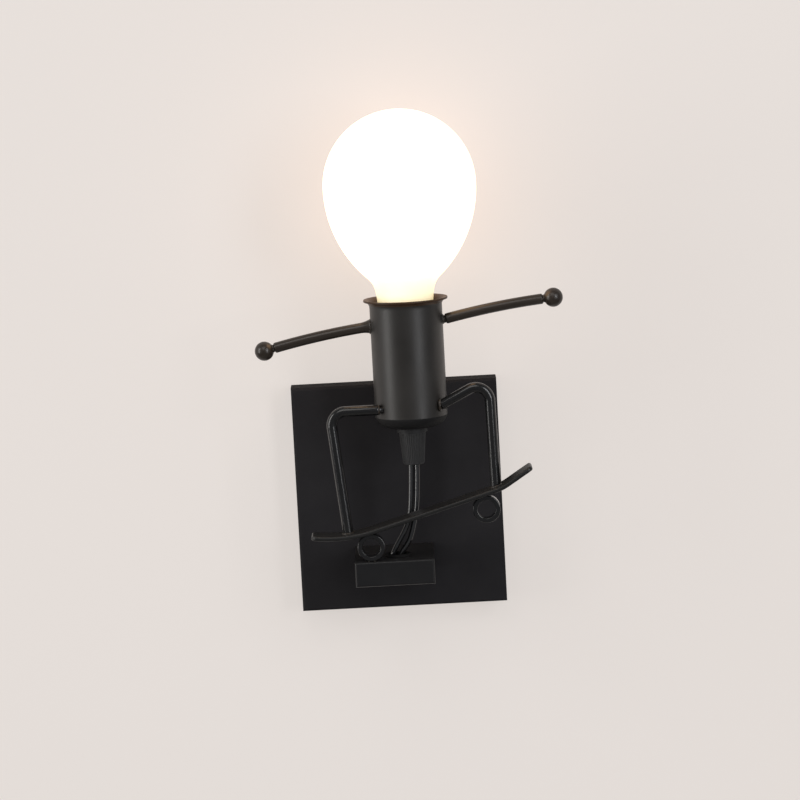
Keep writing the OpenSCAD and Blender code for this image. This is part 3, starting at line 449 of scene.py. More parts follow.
def slotted_screw_shape(length):
    """Slotted pan-head screw of 4 mm along -Z with a rounded head and thread ridges."""
    d, head_d, head_h = 4.0, 7.4, 1.6
    pitch, thread_depth, thread_end = 0.7, 0.22, -0.9
    ridges = []
    z = -length
    while z < thread_end:
        ridges += [(d / 2 - thread_depth, z, 0.0), (d / 2, z + pitch / 2, 0.0)]
        z += pitch
    shank = [(0.0, -length, 0.0)] + ridges + [(d / 2, -0.2, 0.0), (d / 2, 0.0, 0.0)]
    head = [(head_d / 2, 0.0, 0.0), (head_d / 2, head_h, head_h * 0.7), (0.0, head_h * 1.02, 0.0)]
    body = mesh_object("screw", turned(rounded(shank + head), 40))
    slot = bmesh.new()
    bmesh.ops.create_cube(slot, size=1.0)
    slot_size = Matrix.Diagonal((head_d * 1.4, d * 0.24, head_h, 1.0))
    slot.transform(Matrix.Translation((0, 0, head_h)) @ slot_size)
    cutter = mesh_object("slot", slot)
    cutting = body.modifiers.new("slot", "BOOLEAN")
    cutting.object = cutter
    cutting.solver = "EXACT"
    made = bpy.data.meshes.new_from_object(body.evaluated_get(bpy.context.evaluated_depsgraph_get()))
    bpy.data.objects.remove(body)
    bpy.data.objects.remove(cutter)
    result = bmesh.new()
    result.from_mesh(made)
    bpy.data.meshes.remove(made)
    return result


def open_tree(name, inputs):
    """New node tree that takes a geometry, the given inputs and a material, and its input node."""
    tree = bpy.data.node_groups.new(name, "GeometryNodeTree")
    for socket, kind in (("Geometry", "Geometry"), *inputs, ("Material", "Material")):
        tree.interface.new_socket(socket, in_out="INPUT", socket_type="NodeSocket" + kind)
    tree.interface.new_socket("Geometry", in_out="OUTPUT", socket_type="NodeSocketGeometry")
    return tree, tree.nodes.new("NodeGroupInput")


def close_tree(tree, taken, copies):
    """Makes a tree's copies real, dresses them in its material and gives them out."""
    real = tree.nodes.new("GeometryNodeRealizeInstances")
    dressed = tree.nodes.new("GeometryNodeSetMaterial")
    given = tree.nodes.new("NodeGroupOutput")
    tree.links.new(copies, real.inputs["Geometry"])
    tree.links.new(real.outputs["Geometry"], dressed.inputs["Geometry"])
    tree.links.new(taken.outputs["Material"], dressed.inputs["Material"])
    tree.links.new(dressed.outputs["Geometry"], given.inputs["Geometry"])
    return tree


def row_tree():
    """Places copies of the piece's own mesh in a row, each turned further than the one before."""
    tree, taken = open_tree("row_of_pieces", [("Count", "Int"), ("Start", "Vector"), ("Step", "Vector"),
                                              ("Turn", "Vector"), ("Further Turn", "Vector")])
    nodes, links = tree.nodes, tree.links
    row = nodes.new("GeometryNodeMeshLine")
    row.mode = "OFFSET"
    links.new(taken.outputs["Count"], row.inputs["Count"])
    links.new(taken.outputs["Start"], row.inputs["Start Location"])
    links.new(taken.outputs["Step"], row.inputs["Offset"])
    index = nodes.new("GeometryNodeInputIndex")
    more = nodes.new("ShaderNodeVectorMath")
    more.operation = "SCALE"
    links.new(taken.outputs["Further Turn"], more.inputs[0])
    links.new(index.outputs["Index"], more.inputs["Scale"])
    turn = nodes.new("ShaderNodeVectorMath")
    turn.operation = "ADD"
    links.new(taken.outputs["Turn"], turn.inputs[0])
    links.new(more.outputs["Vector"], turn.inputs[1])
    copies = nodes.new("GeometryNodeInstanceOnPoints")
    links.new(row.outputs["Mesh"], copies.inputs["Points"])
    links.new(taken.outputs["Geometry"], copies.inputs["Instance"])
    links.new(turn.outputs["Vector"], copies.inputs["Rotation"])
    return close_tree(tree, taken, copies.outputs["Instances"])


def grown(piece, tree, values, finishers=(), sharp=None):
    """Runs a node tree on a piece, with its inputs set by name, and keeps the result as a plain mesh."""
    growth = piece.modifiers.new("growth", "NODES")
    growth.node_group = tree
    for item in tree.interface.items_tree:
        if item.in_out == "INPUT" and item.name in values:
            growth[item.identifier] = values[item.name]
    for kind, settings in finishers:
        finisher = piece.modifiers.new(kind.lower(), kind)
        for key, value in settings.items():
            setattr(finisher, key, value)
    made = bpy.data.meshes.new_from_object(piece.evaluated_get(bpy.context.evaluated_depsgraph_get()))
    made.name = piece.name
    piece.modifiers.clear()
    old = piece.data
    piece.data = made
    bpy.data.meshes.remove(old)
    made.materials.clear()
    made.materials.append(values["Material"])
    made.polygons.foreach_set("material_index", [0] * len(made.polygons))
    made.polygons.foreach_set("use_smooth", [True] * len(made.polygons))
    if sharp is not None:
        made.set_sharp_from_angle(angle=math.radians(sharp))


screw_row = row_tree()
canopy_screws = piece_from("canopy_screws_slotted", slotted_screw_shape(4.9), Matrix(), canopy_coat)
grown(canopy_screws, screw_row, {
    "Count": 2, "Start": (0.0, -0.0039, 0.066), "Step": (0.0, 0.0, -0.132), "Turn": (0.0, 0.0, 0.35),
    "Further Turn": (math.pi, 0.0, 0.0), "Material": canopy_coat}, sharp=35.0)
stand_for(canopy_screws, "fixture", "black_paint", "canopy_screws")


# Ledge. A folded sheet box in the same black coat is screwed to the canopy from inside through a plate with
# tapped holes. Rubber rings line its wire holes.
ledge_coat = black_coat("ledge_powder_coat", (0.0076, 0.0075, 0.0081), (0.0102, 0.0100, 0.0106),
                        grain=1500.0, gloss=(0.30, 0.40), dust=0.06, depth=0.00004, shine=0.24)
finish_nodes(ledge_coat, "ledge_box")
finish_nodes(zinc, "ledge_back_plate")
ledge_mid_z = sum(corner.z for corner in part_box("ledge_box")) / 2
ledge_screws = piece_from("ledge_screws_slotted", slotted_screw_shape(6.2), Matrix(), zinc)
grown(ledge_screws, screw_row, {
    "Count": 2, "Start": (-0.0195, -0.0168, ledge_mid_z), "Step": (0.030, 0.0, 0.0),
    "Turn": (-math.pi / 2, 0.0, 0.0), "Further Turn": (0.0, 0.6, 0.0), "Material": zinc}, sharp=35.0)
stand_for(ledge_screws, "fixture", "zinc_steel", "ledge_screws")

rubber = new_finish("matte_black_rubber")
bloom = surface_noise(rubber, 260.0, 4.0)
tint(rubber, bloom, (0.004, 0.004, 0.0042), (0.008, 0.008, 0.008))
polish(rubber, bloom, 0.62, 0.78)
shader(rubber)["Specular IOR Level"].default_value = 0.1
bump(rubber, surface_noise(rubber, 2600.0, 2.0), 0.00004)
finish_nodes(rubber, "canopy_bush", "ledge_grommet")


# Wheels. Two short rings sawn from thick steel tube, with their sawn edges broken, stand for the board's
# wheels. The left one is welded to the ledge and both are welded to the deck.
ring_coat = black_coat("ring_powder_coat", (0.0048, 0.0048, 0.0051), (0.0066, 0.0065, 0.0067),
                       grain=1700.0, gloss=(0.13, 0.19), dust=0.02, depth=0.00002, shine=0.45)
ring_r, bore_r, ring_half_w = 7.9, 5.2, 3.5
ring_outline = rounded([(bore_r, -ring_half_w, 0.5), (ring_r, -ring_half_w, 0.7),
                        (ring_r, ring_half_w, 0.7), (bore_r, ring_half_w, 0.5)])
for wheel in ("wheel_left_ring", "wheel_right_ring"):
    low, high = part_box(wheel)
    ring_place = Matrix.Translation((low + high) / 2) @ Matrix.Rotation(math.radians(90), 4, "X")
    ring_piece = piece_from(wheel + "_sawn", turned(ring_outline, 96), ring_place, ring_coat)
    stand_for(ring_piece, "fixture", "black_paint", wheel)


# Deck. A strip of flat steel with its tail bent up in a long curve and its nose in a short one, corners
# rounded off and edges rolled round, is welded on top of the two rings.
deck_coat = black_coat("deck_powder_coat", (0.0056, 0.0055, 0.0054), (0.0076, 0.0075, 0.0072),
                       grain=1700.0, gloss=(0.36, 0.44), dust=0.05, depth=0.00003, shine=0.34)
deck_x, deck_y, deck_z = 20.0, -70.5, -1.0
straight_end, deck_tilt = 36.0, math.radians(15.8)
tail_r, tail_kick, tail_len = 85.0, math.radians(23.4), 2.0
nose_r, nose_kick, nose_len = 30.0, math.radians(16.5), 16.4
deck_half_w, deck_corner, deck_half_t, broken = 9.0, 3.0, 1.3, 1.0
tail_s = -straight_end - tail_r * tail_kick - tail_len
nose_s = straight_end + nose_r * nose_kick + nose_len


def deck_slope(s):
    return (deck_tilt + min(max(s - straight_end, 0.0) / nose_r, nose_kick)
            - min(max(-straight_end - s, 0.0) / tail_r, tail_kick))


def deck_point(s, down):
    """Place (x, z) in millimetres at the length s along the deck, so far down below its middle layer."""
    a = deck_slope(s)
    r = nose_r if s > 0 else tail_r
    way = 1 if s > 0 else -1
    flat = way * min(abs(s), straight_end)
    beyond = way * max(abs(s) - straight_end - r * abs(a - deck_tilt), 0.0)
    level, steep = math.cos(deck_tilt), math.sin(deck_tilt)
    x = deck_x + flat * level - r * steep + (r + down) * math.sin(a) + beyond * math.cos(a)
    z = deck_z + flat * steep + r * level - (r + down) * math.cos(a) + beyond * math.sin(a)
    return Vector((x, z))


def skinned(shape, loops):
    """Covers a shape's loops of points one after the other, and closes both ends."""
    n = len(loops[0])
    for a, b in zip(loops, loops[1:]):
        for k in range(n):
            shape.faces.new((a[k], a[(k + 1) % n], b[(k + 1) % n], b[k]))
    shape.faces.new(loops[0])
    shape.faces.new(loops[-1])
    bmesh.ops.recalc_face_normals(shape, faces=shape.faces)
    return shape


def deck_shape():
    length = nose_s - tail_s
    near_end = [0.0, 0.08, 0.2, 0.4, 0.7, 1.1, 1.6, 2.2, 3.0, 3.5]
    clear_end, steps = 4.0, 130
    stations = near_end + [clear_end + (length - 2 * clear_end) * k / steps for k in range(steps + 1)]
    stations += [length - d for d in near_end[::-1]]
    shape = bmesh.new()
    loops = []
    for along in stations:
        end = min(along, length - along)
        w = deck_half_w
        if end < deck_corner:
            w -= deck_corner - math.sqrt(deck_corner ** 2 - (deck_corner - end) ** 2)
        t = deck_half_t
        if end < broken:
            t -= broken - math.sqrt(broken ** 2 - (broken - end) ** 2)
        edge = min(broken, t)
        quarter = [(w - edge - 0.3, t)]
        for degrees in range(0, 91, 15):
            a = math.radians(degrees)
            quarter.append((w - edge + edge * math.sin(a), t - edge + edge * math.cos(a)))
        section = quarter + [(y, -z) for y, z in quarter[::-1]]
        section += [(-y, z) for y, z in section[::-1]]
        loops.append([])
        for y, up in section:
            p = deck_point(tail_s + along, -up)
            loops[-1].append(shape.verts.new((p.x, deck_y + y, p.y)))
    return skinned(shape, loops)


deck = piece_from("deck_bent_strip", deck_shape(), Matrix(), deck_coat)
stand_for(deck, "fixture", "black_paint", "deck")


# Legs. Two round rods of 6 mm, bent once at the knee, are cut square at the hip and welded to the front of
# the cup and to the top of the deck.
leg_coat = black_coat("leg_powder_coat", (0.0046, 0.0046, 0.0049), (0.0066, 0.0065, 0.0066),
                      grain=1700.0, gloss=(0.16, 0.23), dust=0.03, depth=0.00002, shine=0.42)
rod_r, rod_d = 3.0, 6.0
knee_r, knee_steps = 8.0, 24


def rod_shape(path, radii, y, sides=36):
    """Rod along (x, z) points in millimetres in the plane y, with its own radius at each point."""
    shape = bmesh.new()
    angles = [2 * math.pi * i / sides for i in range(sides)]
    rings = []
    across = Vector((0, 1, 0))
    for k, (p, r) in enumerate(zip(path, radii)):
        way = path[min(k + 1, len(path) - 1)] - path[max(k - 1, 0)]
        up = Vector((-way.y, 0, way.x)).normalized()
        centre = Vector((p.x, y, p.y))
        spokes = [r * (math.cos(a) * up + math.sin(a) * across) for a in angles]
        rings.append([shape.verts.new(centre + spoke) for spoke in spokes])
    return skinned(shape, rings)


def knee_arc(start, knee, end):
    """Points of the bend at a knee, and the directions of the rod before and after it."""
    u = (knee - start).normalized()
    v = (end - knee).normalized()
    bend = u.angle(v)
    side = 1 if u.x * v.y - u.y * v.x > 0 else -1
    reach = knee_r * math.tan(bend / 2)
    middle = knee - reach * u + knee_r * side * Vector((-u.y, u.x))
    first = knee - reach * u - middle
    arc = []
    for k in range(knee_steps + 1):
        a = side * bend * k / knee_steps
        arc.append(middle + Vector((first.x * math.cos(a) - first.y * math.sin(a),
                                    first.x * math.sin(a) + first.y * math.cos(a))))
    return arc, u, v


# The rod's radius by its distance from the hip's end: each rod narrows where it meets the cup.
hip_ease = {"left_leg": [(0.0, 1.7), (1.9, 1.8), (2.5, 2.1), (2.7, 2.6), (3.1, 2.9), (3.6, 3.0)],
            "right_leg": [(0.0, 2.1), (0.12, 2.45), (0.35, 2.75), (0.7, 2.94), (1.1, 3.0)]}
hips = {"left_leg": Vector((-6.2, 57.7)), "right_leg": Vector((26.6, 58.5))}
knees = {"left_leg": Vector((-36.9, 57.8)), "right_leg": Vector((54.3, 72.5))}
foot_s = {"left_leg": -straight_end - 15.5, "right_leg": straight_end - 0.7}
foot_aims = {leg: deck_point(s, rod_d) for leg, s in foot_s.items()}
foot_cut = 5.6  # each rod ends so far before the point under the deck at which it aims
shins = {}
for leg, hip in hips.items():
    arc, thigh, shins[leg] = knee_arc(hip, knees[leg], foot_aims[leg])
    to_foot = foot_aims[leg] - arc[-1]
    foot = arc[-1] + to_foot * ((to_foot.length - foot_cut) / to_foot.length)
    path = [hip + thigh * d for d, _ in hip_ease[leg]] + arc + [foot]
    radii = [r for _, r in hip_ease[leg]] + [rod_r] * (len(arc) + 1)
    leg_piece = piece_from(leg + "_rod", rod_shape(path, radii, deck_y), Matrix(), leg_coat)
    stand_for(leg_piece, "fixture", "black_paint", leg)


# Cup. The torso is a cup drawn from 1.2 mm sheet, with a rounded bottom edge, a straight wall and a lip
# flared outwards, coated inside and outside. Underneath, a duller copy of the coat with little gloss paints
# the shade under the rounded bottom, and the lip is coloured warm orange as painted light from the bulb.
cup_coat = black_coat("cup_powder_coat", (0.0107, 0.0093, 0.0080), (0.0146, 0.0127, 0.0110),
                      grain=1700.0, gloss=(0.38, 0.46), dust=0.16, depth=0.00003, shine=0.46)
# A duller copy of the cup's coat with little gloss: painted shade for the rounded bottom.
underside_painted_shade_coat = black_coat("cup_underside_painted_shade", (0.0098, 0.0095, 0.0098), (0.0126, 0.0122, 0.0125),
                            grain=1700.0, gloss=(0.55, 0.66), dust=0.0, depth=0.00004, shine=0.12)
# Warm orange coat for the lip: painted warm light from the bulb.
lip_painted_bulb_light_coat = black_coat("cup_lip_painted_bulb_light", (0.034, 0.016, 0.006), (0.046, 0.022, 0.009),
                      grain=1700.0, gloss=(0.40, 0.50), dust=0.0, depth=0.00003, shine=0.30)
cup_x, cup_y, cup_base = 9.5, -58.0, 45.5
cup_r, cup_sheet = 20.75, 1.2
painted_shade_top, painted_bulb_light_bottom = 0.0528, 0.1168
cup_axis = Matrix.Translation((cup_x / 1000, cup_y / 1000, 0.0))


def cup_outline():
    hole_r, pad_r, round_r = 5.1, 12.0, 9.274
    wall_low, wall_low_inside, wall_high = 52.2, 52.4, 114.6
    flare_x, flare_z, flare_r = 23.95, 115.2, 3.2
    inner_r, inner_round = cup_r - cup_sheet, round_r - cup_sheet

    def flare(r, degrees):
        angles = [math.radians(a) for a in degrees]
        return [(flare_x - r * math.cos(a), flare_z + r * math.sin(a)) for a in angles]

    outside = [(hole_r, cup_base)]
    for k in range(17):
        a = math.asin((cup_r - pad_r) / round_r) * k / 16
        outside.append((pad_r + round_r * math.sin(a), cup_base + round_r * (1 - math.cos(a))))
    outside += [(cup_r, wall_low + (wall_high - wall_low) * k / 12) for k in range(13)]
    outside += flare(flare_r, range(9, 91, 9))
    lip = [(24.05, 118.6), (24.1, 119.0), (24.05, 119.4)]
    inside = flare(flare_r + cup_sheet, range(90, -1, -9))
    inside += [(inner_r, wall_high - (wall_high - wall_low_inside) * k / 12) for k in range(13)]
    for k in range(17):
        a = math.asin((inner_r - pad_r) / inner_round) * (1 - k / 16)
        inside.append((pad_r + inner_round * math.sin(a), cup_base + round_r - inner_round * math.cos(a)))
    return outside + lip + inside + [(hole_r, cup_base + cup_sheet)]


cup = piece_from("lamp_cup_drawn", turned(cup_outline(), 128), cup_axis, cup_coat, 50.0)
cup.data.materials.append(underside_painted_shade_coat)
cup.data.materials.append(lip_painted_bulb_light_coat)
# Faces low on the rounded bottom take the painted shade coat. Faces on the lip take the painted bulb light.
for face in cup.data.polygons:
    if face.center.z < painted_shade_top:
        face.material_index = 1
    elif face.center.z > painted_bulb_light_bottom:
        face.material_index = 2
stand_for(cup, "fixture", "black_paint", "lamp_cup")


# Arms and hands. Two arched rods of 6 mm are welded to the sides of the cup, and a steel ball is welded to
# the end of each.
# The arms' warm brown coat is partly the coat's own tone and partly painted warm light from the bulb above.
# The balls and the weld beads share it.
arm_coat_tone_and_painted_glow = black_coat("arm_powder_coat_tone_and_painted_glow", (0.0168, 0.0120, 0.0083), (0.0220, 0.0163, 0.0118),
                      grain=1700.0, gloss=(0.28, 0.37), dust=0.03, depth=0.00002, shine=0.40)
arch_r, arm_steps = 440.0, 320
ball_r, ball_sink, wall_sink = 5.5, 4.6, 0.8
half_turn = [math.pi * k / 40 for k in range(41)]
ball_outline = [(ball_r * math.sin(a), -ball_r * math.cos(a)) for a in half_turn]


def arm_path(side, height, slope, length):
    """Points of an arched arm from the cup's wall outwards. The last one is the middle of its hand."""
    def down(a):
        return Vector((math.sin(a), -math.cos(a)))
    middle = Vector((cup_x + side * cup_r, cup_base + height)) + arch_r * down(slope)
    distances = [length * k / arm_steps for k in range(arm_steps + 1)]
    return [middle - arch_r * down(slope - side * d / arch_r) for d in distances]


def eased_radius(thin, d, start, end):
    """Radius of a rod at the distance d from a joint: thin up to start, then rounded up to the full rod."""
    if d < start:
        return thin
    if d < end:
        return thin + (rod_r - thin) * math.sqrt(max(0.0, 1.0 - ((end - d) / (end - start)) ** 2))
    return rod_r


def arm_radius(d, length, side):
    """Radius of an arm at the distance d from the cup's wall. Both arms are thin next to the ball.
    At the cup the left one swells out and the right one is thin."""
    swell, swell_len = 1.1, 6.0
    thin_end = 2.6
    if side > 0 and d < thin_end:
        return eased_radius(2.2, d, 1.6, thin_end)
    r = eased_radius(2.15, length - ball_r - d, 0.5, 1.3)
    if side < 0 and d < swell_len:
        r += swell * (1.0 - d / swell_len) ** 2
    return r


arm_ends = {}
for arm, hand, side, height, slope, length in (
        ("left_arm", "left_hand", -1, 58.8, math.radians(6.1), 62.2),
        ("right_arm", "right_hand", 1, 60.6, math.radians(12.6), 64.3)):
    line = arm_path(side, height, slope, length)
    distances = [length * k / arm_steps for k in range(arm_steps + 1)]
    radii = [arm_radius(d, length, side) for d in distances if d < length - ball_sink]
    start = line[0] - (line[1] - line[0]).normalized() * wall_sink
    rod = rod_shape([start] + line[:len(radii)], radii[:1] + radii, cup_y)
    stand_for(piece_from(arm + "_rod", rod, Matrix(), arm_coat_tone_and_painted_glow, 60.0), "fixture", "black_paint", arm)
    arm_ends[arm] = (line[len(radii) - 1], line[-1])
    hand_place = Matrix.Translation((line[-1].x / 1000, cup_y / 1000, line[-1].y / 1000))
    ball_piece = piece_from(hand + "_ball", turned(ball_outline, 64), hand_place, arm_coat_tone_and_painted_glow, 60.0)
    stand_for(ball_piece, "fixture", "black_paint", hand)


# Welds. Small beads of weld metal, laid drop by drop where rods, rings, strip and cup meet, hold the
# figure together. They are coated over with everything else.
def bead_tree():
    """Sets drops of uneven size along the piece's own edges."""
    tree, taken = open_tree("weld_bead", [("Bead Radius", "Float"), ("Spacing", "Float"), ("Seed", "Int")])
    nodes, links = tree.nodes, tree.links
    seam = nodes.new("GeometryNodeMeshToCurve")
    links.new(taken.outputs["Geometry"], seam.inputs["Mesh"])
    steps = nodes.new("GeometryNodeResampleCurve")
    steps.mode = "LENGTH"
    links.new(seam.outputs["Curve"], steps.inputs["Curve"])
    links.new(taken.outputs["Spacing"], steps.inputs["Length"])
    drop = nodes.new("GeometryNodeMeshIcoSphere")
    drop.inputs["Subdivisions"].default_value = 2
    links.new(taken.outputs["Bead Radius"], drop.inputs["Radius"])
    sizes = nodes.new("FunctionNodeRandomValue")
    sizes.data_type = "FLOAT_VECTOR"
    sizes.inputs["Min"].default_value = (0.75, 0.75, 0.75)
    sizes.inputs["Max"].default_value = (1.2, 1.2, 1.2)
    links.new(taken.outputs["Seed"], sizes.inputs["Seed"])
    drops = nodes.new("GeometryNodeInstanceOnPoints")
    links.new(steps.outputs["Curve"], drops.inputs["Points"])
    links.new(drop.outputs["Mesh"], drops.inputs["Instance"])
    links.new(sizes.outputs["Value"], drops.inputs["Scale"])
    return close_tree(tree, taken, drops.outputs["Instances"])


weld_bead = bead_tree()
seam_angles = [2 * math.pi * k / 24 for k in range(25)]


def weld(name, seams, radius, seed):
    """Bead along each seam, a list of points in millimetres, melted together into one piece."""
    shape = bmesh.new()
    for seam in seams:
        row = [shape.verts.new(p) for p in seam]
        for a, b in zip(row, row[1:]):
            shape.edges.new((a, b))
    # The beads take the arms' coat, with its painted warm bulb light.
    bead = piece_from(name, shape, Matrix(), arm_coat_tone_and_painted_glow)
    grown(bead, weld_bead, {"Bead Radius": radius / 1000, "Spacing": radius * 0.85 / 1000, "Seed": seed,
                            "Material": arm_coat_tone_and_painted_glow},
          [("REMESH", {"mode": "VOXEL", "voxel_size": 0.00022}),
           ("SMOOTH", {"factor": 0.5, "iterations": 3})])
    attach(bead, "fixture")


def ring_on_cup(centre_z, y, r, side, least=0.0):
    """Closed seam round a rod on the cup's wall, nowhere nearer to the cup's axis than least."""
    points = []
    for a in seam_angles:
        depth = y + r * math.sin(a)
        out = max(math.sqrt(cup_r ** 2 - (depth - cup_y) ** 2), least)
        points.append((cup_x + side * out, depth, centre_z + r * math.cos(a)))
    return points


def ring_round(centre, along, r, y):
    """Closed seam of the radius r at the place centre (x, z), square to the direction along."""
    up = Vector((-along.y, 0, along.x)).normalized()
    middle = Vector((centre.x, y, centre.y))
    return [middle + r * (math.cos(a) * up + math.sin(a) * Vector((0, 1, 0))) for a in seam_angles]


weld("weld_left_hip", [ring_on_cup(hips["left_leg"].y, deck_y, 2.2, -1, least=18.4)], 0.8, 3)
weld("weld_right_hip", [ring_on_cup(hips["right_leg"].y, deck_y, 2.6, 1, least=16.4)], 0.95, 5)
weld("weld_left_shoulder", [ring_on_cup(104.3, cup_y, 3.6, -1)], 0.9, 7)
weld("weld_right_shoulder", [ring_on_cup(106.3, cup_y, 2.1, 1)], 0.8, 11)
for arm, (rod_end, hand_middle) in arm_ends.items():
    along = (hand_middle - rod_end).normalized()
    weld("weld_" + arm + "_ball", [ring_round(hand_middle - along * 5.0, along, 1.9, cup_y)], 0.55, 13)
for leg, shin in shins.items():
    slope = deck_slope(foot_s[leg])
    into_deck = Vector((math.sin(slope), -math.cos(slope)))
    top = foot_aims[leg] - shin * ((rod_d + deck_half_t) / shin.dot(into_deck))
    weld("weld_" + leg + "_foot", [ring_round(top, into_deck, rod_r, deck_y)], 0.75, 17)
seam_out, seam_half = 1.6, 3.0
below_deck, above_ledge = 0.25, 0.15
for wheel, s in (("left", -straight_end - 4.8), ("right", straight_end - 7.9)):
    places = [deck_point(s + way, deck_half_t + below_deck) for way in (-seam_out, seam_out)]
    if wheel == "left":
        centre = deck_point(s, deck_half_t + ring_r)
        low_z = centre.y - ring_r + above_ledge
        places += [Vector((centre.x + way, low_z)) for way in (-seam_out, seam_out)]
    seams = [[(p.x, deck_y - seam_half, p.y), (p.x, deck_y + seam_half, p.y)] for p in places]
    weld("weld_" + wheel + "_wheel", seams, 0.6, 19)


# Collar and strain relief under the cup. A turned steel collar closes the cup's bottom round the hollow
# nipple, and a ribbed plastic sleeve below it keeps the wires from bending sharply.
# The collar's coat is a lighter grey than the cup's. This is painted light that lifts it out of the shade
# under the cup.
collar_coat_painted_light = black_coat("collar_powder_coat_painted_light", (0.021, 0.021, 0.022), (0.026, 0.026, 0.027),
                         grain=1700.0, gloss=(0.50, 0.60), dust=0.0, depth=0.00003, shine=0.20)
finish_nodes(collar_coat_painted_light, "base_collar")
finish_nodes(zinc, "hollow_nipple", "lock_nut")

grip_plastic = new_finish("ribbed_grip_plastic")
mould = surface_noise(grip_plastic, 900.0, 3.0)
tint(grip_plastic, mould, (0.0128, 0.0128, 0.0132), (0.0188, 0.0188, 0.0194))
polish(grip_plastic, mould, 0.46, 0.60)
shader(grip_plastic)["Specular IOR Level"].default_value = 0.4
bump(grip_plastic, mould, 0.00003, 0.6)


def rib_tree():
    """Adds straight ribs round the piece's own mesh, each lying along its slanting side."""
    tree, taken = open_tree("grip_ribs", [("Rib Count", "Int"), ("Middle Radius", "Float"),
                                          ("Middle", "Vector"), ("Rib Length", "Float"),
                                          ("Rib Radius", "Float"), ("Tilt", "Float")])
    nodes, links = tree.nodes, tree.links
    circle = nodes.new("GeometryNodeMeshCircle")
    links.new(taken.outputs["Rib Count"], circle.inputs["Vertices"])
    links.new(taken.outputs["Middle Radius"], circle.inputs["Radius"])
    index = nodes.new("GeometryNodeInputIndex")
    share = reckoned(tree, "DIVIDE", 2 * math.pi, taken.outputs["Rib Count"])
    turn = nodes.new("ShaderNodeCombineXYZ")
    links.new(taken.outputs["Tilt"], turn.inputs["Y"])
    links.new(reckoned(tree, "MULTIPLY", index.outputs["Index"], share), turn.inputs["Z"])
    bar = nodes.new("GeometryNodeMeshCylinder")
    bar.inputs["Vertices"].default_value = 8
    links.new(taken.outputs["Rib Radius"], bar.inputs["Radius"])
    links.new(taken.outputs["Rib Length"], bar.inputs["Depth"])
    ribs = nodes.new("GeometryNodeInstanceOnPoints")
    links.new(circle.outputs["Mesh"], ribs.inputs["Points"])
    links.new(bar.outputs["Mesh"], ribs.inputs["Instance"])
    links.new(turn.outputs["Vector"], ribs.inputs["Rotation"])
    move = nodes.new("GeometryNodeTransform")
    links.new(ribs.outputs["Instances"], move.inputs["Geometry"])
    links.new(taken.outputs["Middle"], move.inputs["Translation"])
    both = nodes.new("GeometryNodeJoinGeometry")
    links.new(taken.outputs["Geometry"], both.inputs["Geometry"])
    links.new(move.outputs["Geometry"], both.inputs["Geometry"])
    return close_tree(tree, taken, both.outputs["Geometry"])


grip_low, grip_high, grip_low_r, grip_high_r, grip_bore = 24.0, 42.7, 5.85, 7.4, 3.7
grip = turned(rounded([(grip_bore, grip_low, 0.4), (grip_low_r, grip_low, 0.5),
                       (grip_high_r, grip_high, 0.3), (grip_bore, grip_high, 0.0)]), 80)
strain_relief = piece_from("strain_relief_ribbed", grip, cup_axis, grip_plastic)
grown(strain_relief, rib_tree(), {
    "Rib Count": 40, "Middle Radius": 0.00655, "Rib Length": 0.0174, "Rib Radius": 0.00034,
    "Middle": (cup_x / 1000, cup_y / 1000, (grip_low + grip_high) / 2000),
    "Tilt": math.atan2(grip_high_r - grip_low_r, grip_high - grip_low),
    "Material": grip_plastic}, sharp=35.0)
stand_for(strain_relief, "fixture", "grip_plastic", "strain_relief")


# Lampholder. Base and sleeve are moulded from dark bakelite, and the screw shell, contact tongue and wire
# terminals inside are pressed from brass.
bakelite = new_finish("dark_bakelite")
swirl = surface_noise(bakelite, 90.0, 5.0)
tint(bakelite, swirl, (0.016, 0.014, 0.013), (0.030, 0.027, 0.025))
polish(bakelite, swirl, 0.24, 0.36)
bump(bakelite, surface_noise(bakelite, 1200.0, 2.0), 0.00003, 0.5)
finish_nodes(bakelite, "holder_base", "holder_sleeve")
finish_nodes(brass, "screw_shell", "centre_contact", "holder_terminals")
finish_nodes(zinc, "holder_terminal_screws")


# Bulb. A blown opal glass globe, lit, is cemented round a plastic driver housing, and a nickel-plated screw
# cap with a black glass insulator and a soldered contact is pressed on below.
opal = new_finish("lit_opal_glass")
glow = opal.node_tree.nodes.new("ShaderNodeValToRGB")
glow.color_ramp.elements[0].color = (0.13, 0.10, 0.035, 1.0)
glow.color_ramp.elements[1].color = (1.0, 0.62, 0.36, 1.0)
for step, colour in ((0.19, (0.17, 0.135, 0.055, 1.0)), (0.30, (0.30, 0.24, 0.125, 1.0)),
                     (0.48, (1.0, 0.62, 0.31, 1.0))):
    glow.color_ramp.elements.new(step).color = colour
glow_low, glow_high = 0.108, 0.168
opal.node_tree.links.new(by_height(opal, glow_low, glow_high), glow.inputs["Fac"])
opal.node_tree.links.new(glow.outputs["Color"], shader(opal)["Emission Color"])
shader(opal)["Emission Strength"].default_value = 3.0
tint(opal, surface_noise(opal, 60.0), (0.74, 0.73, 0.70), (0.78, 0.77, 0.74))
shader(opal)["Roughness"].default_value = 0.28


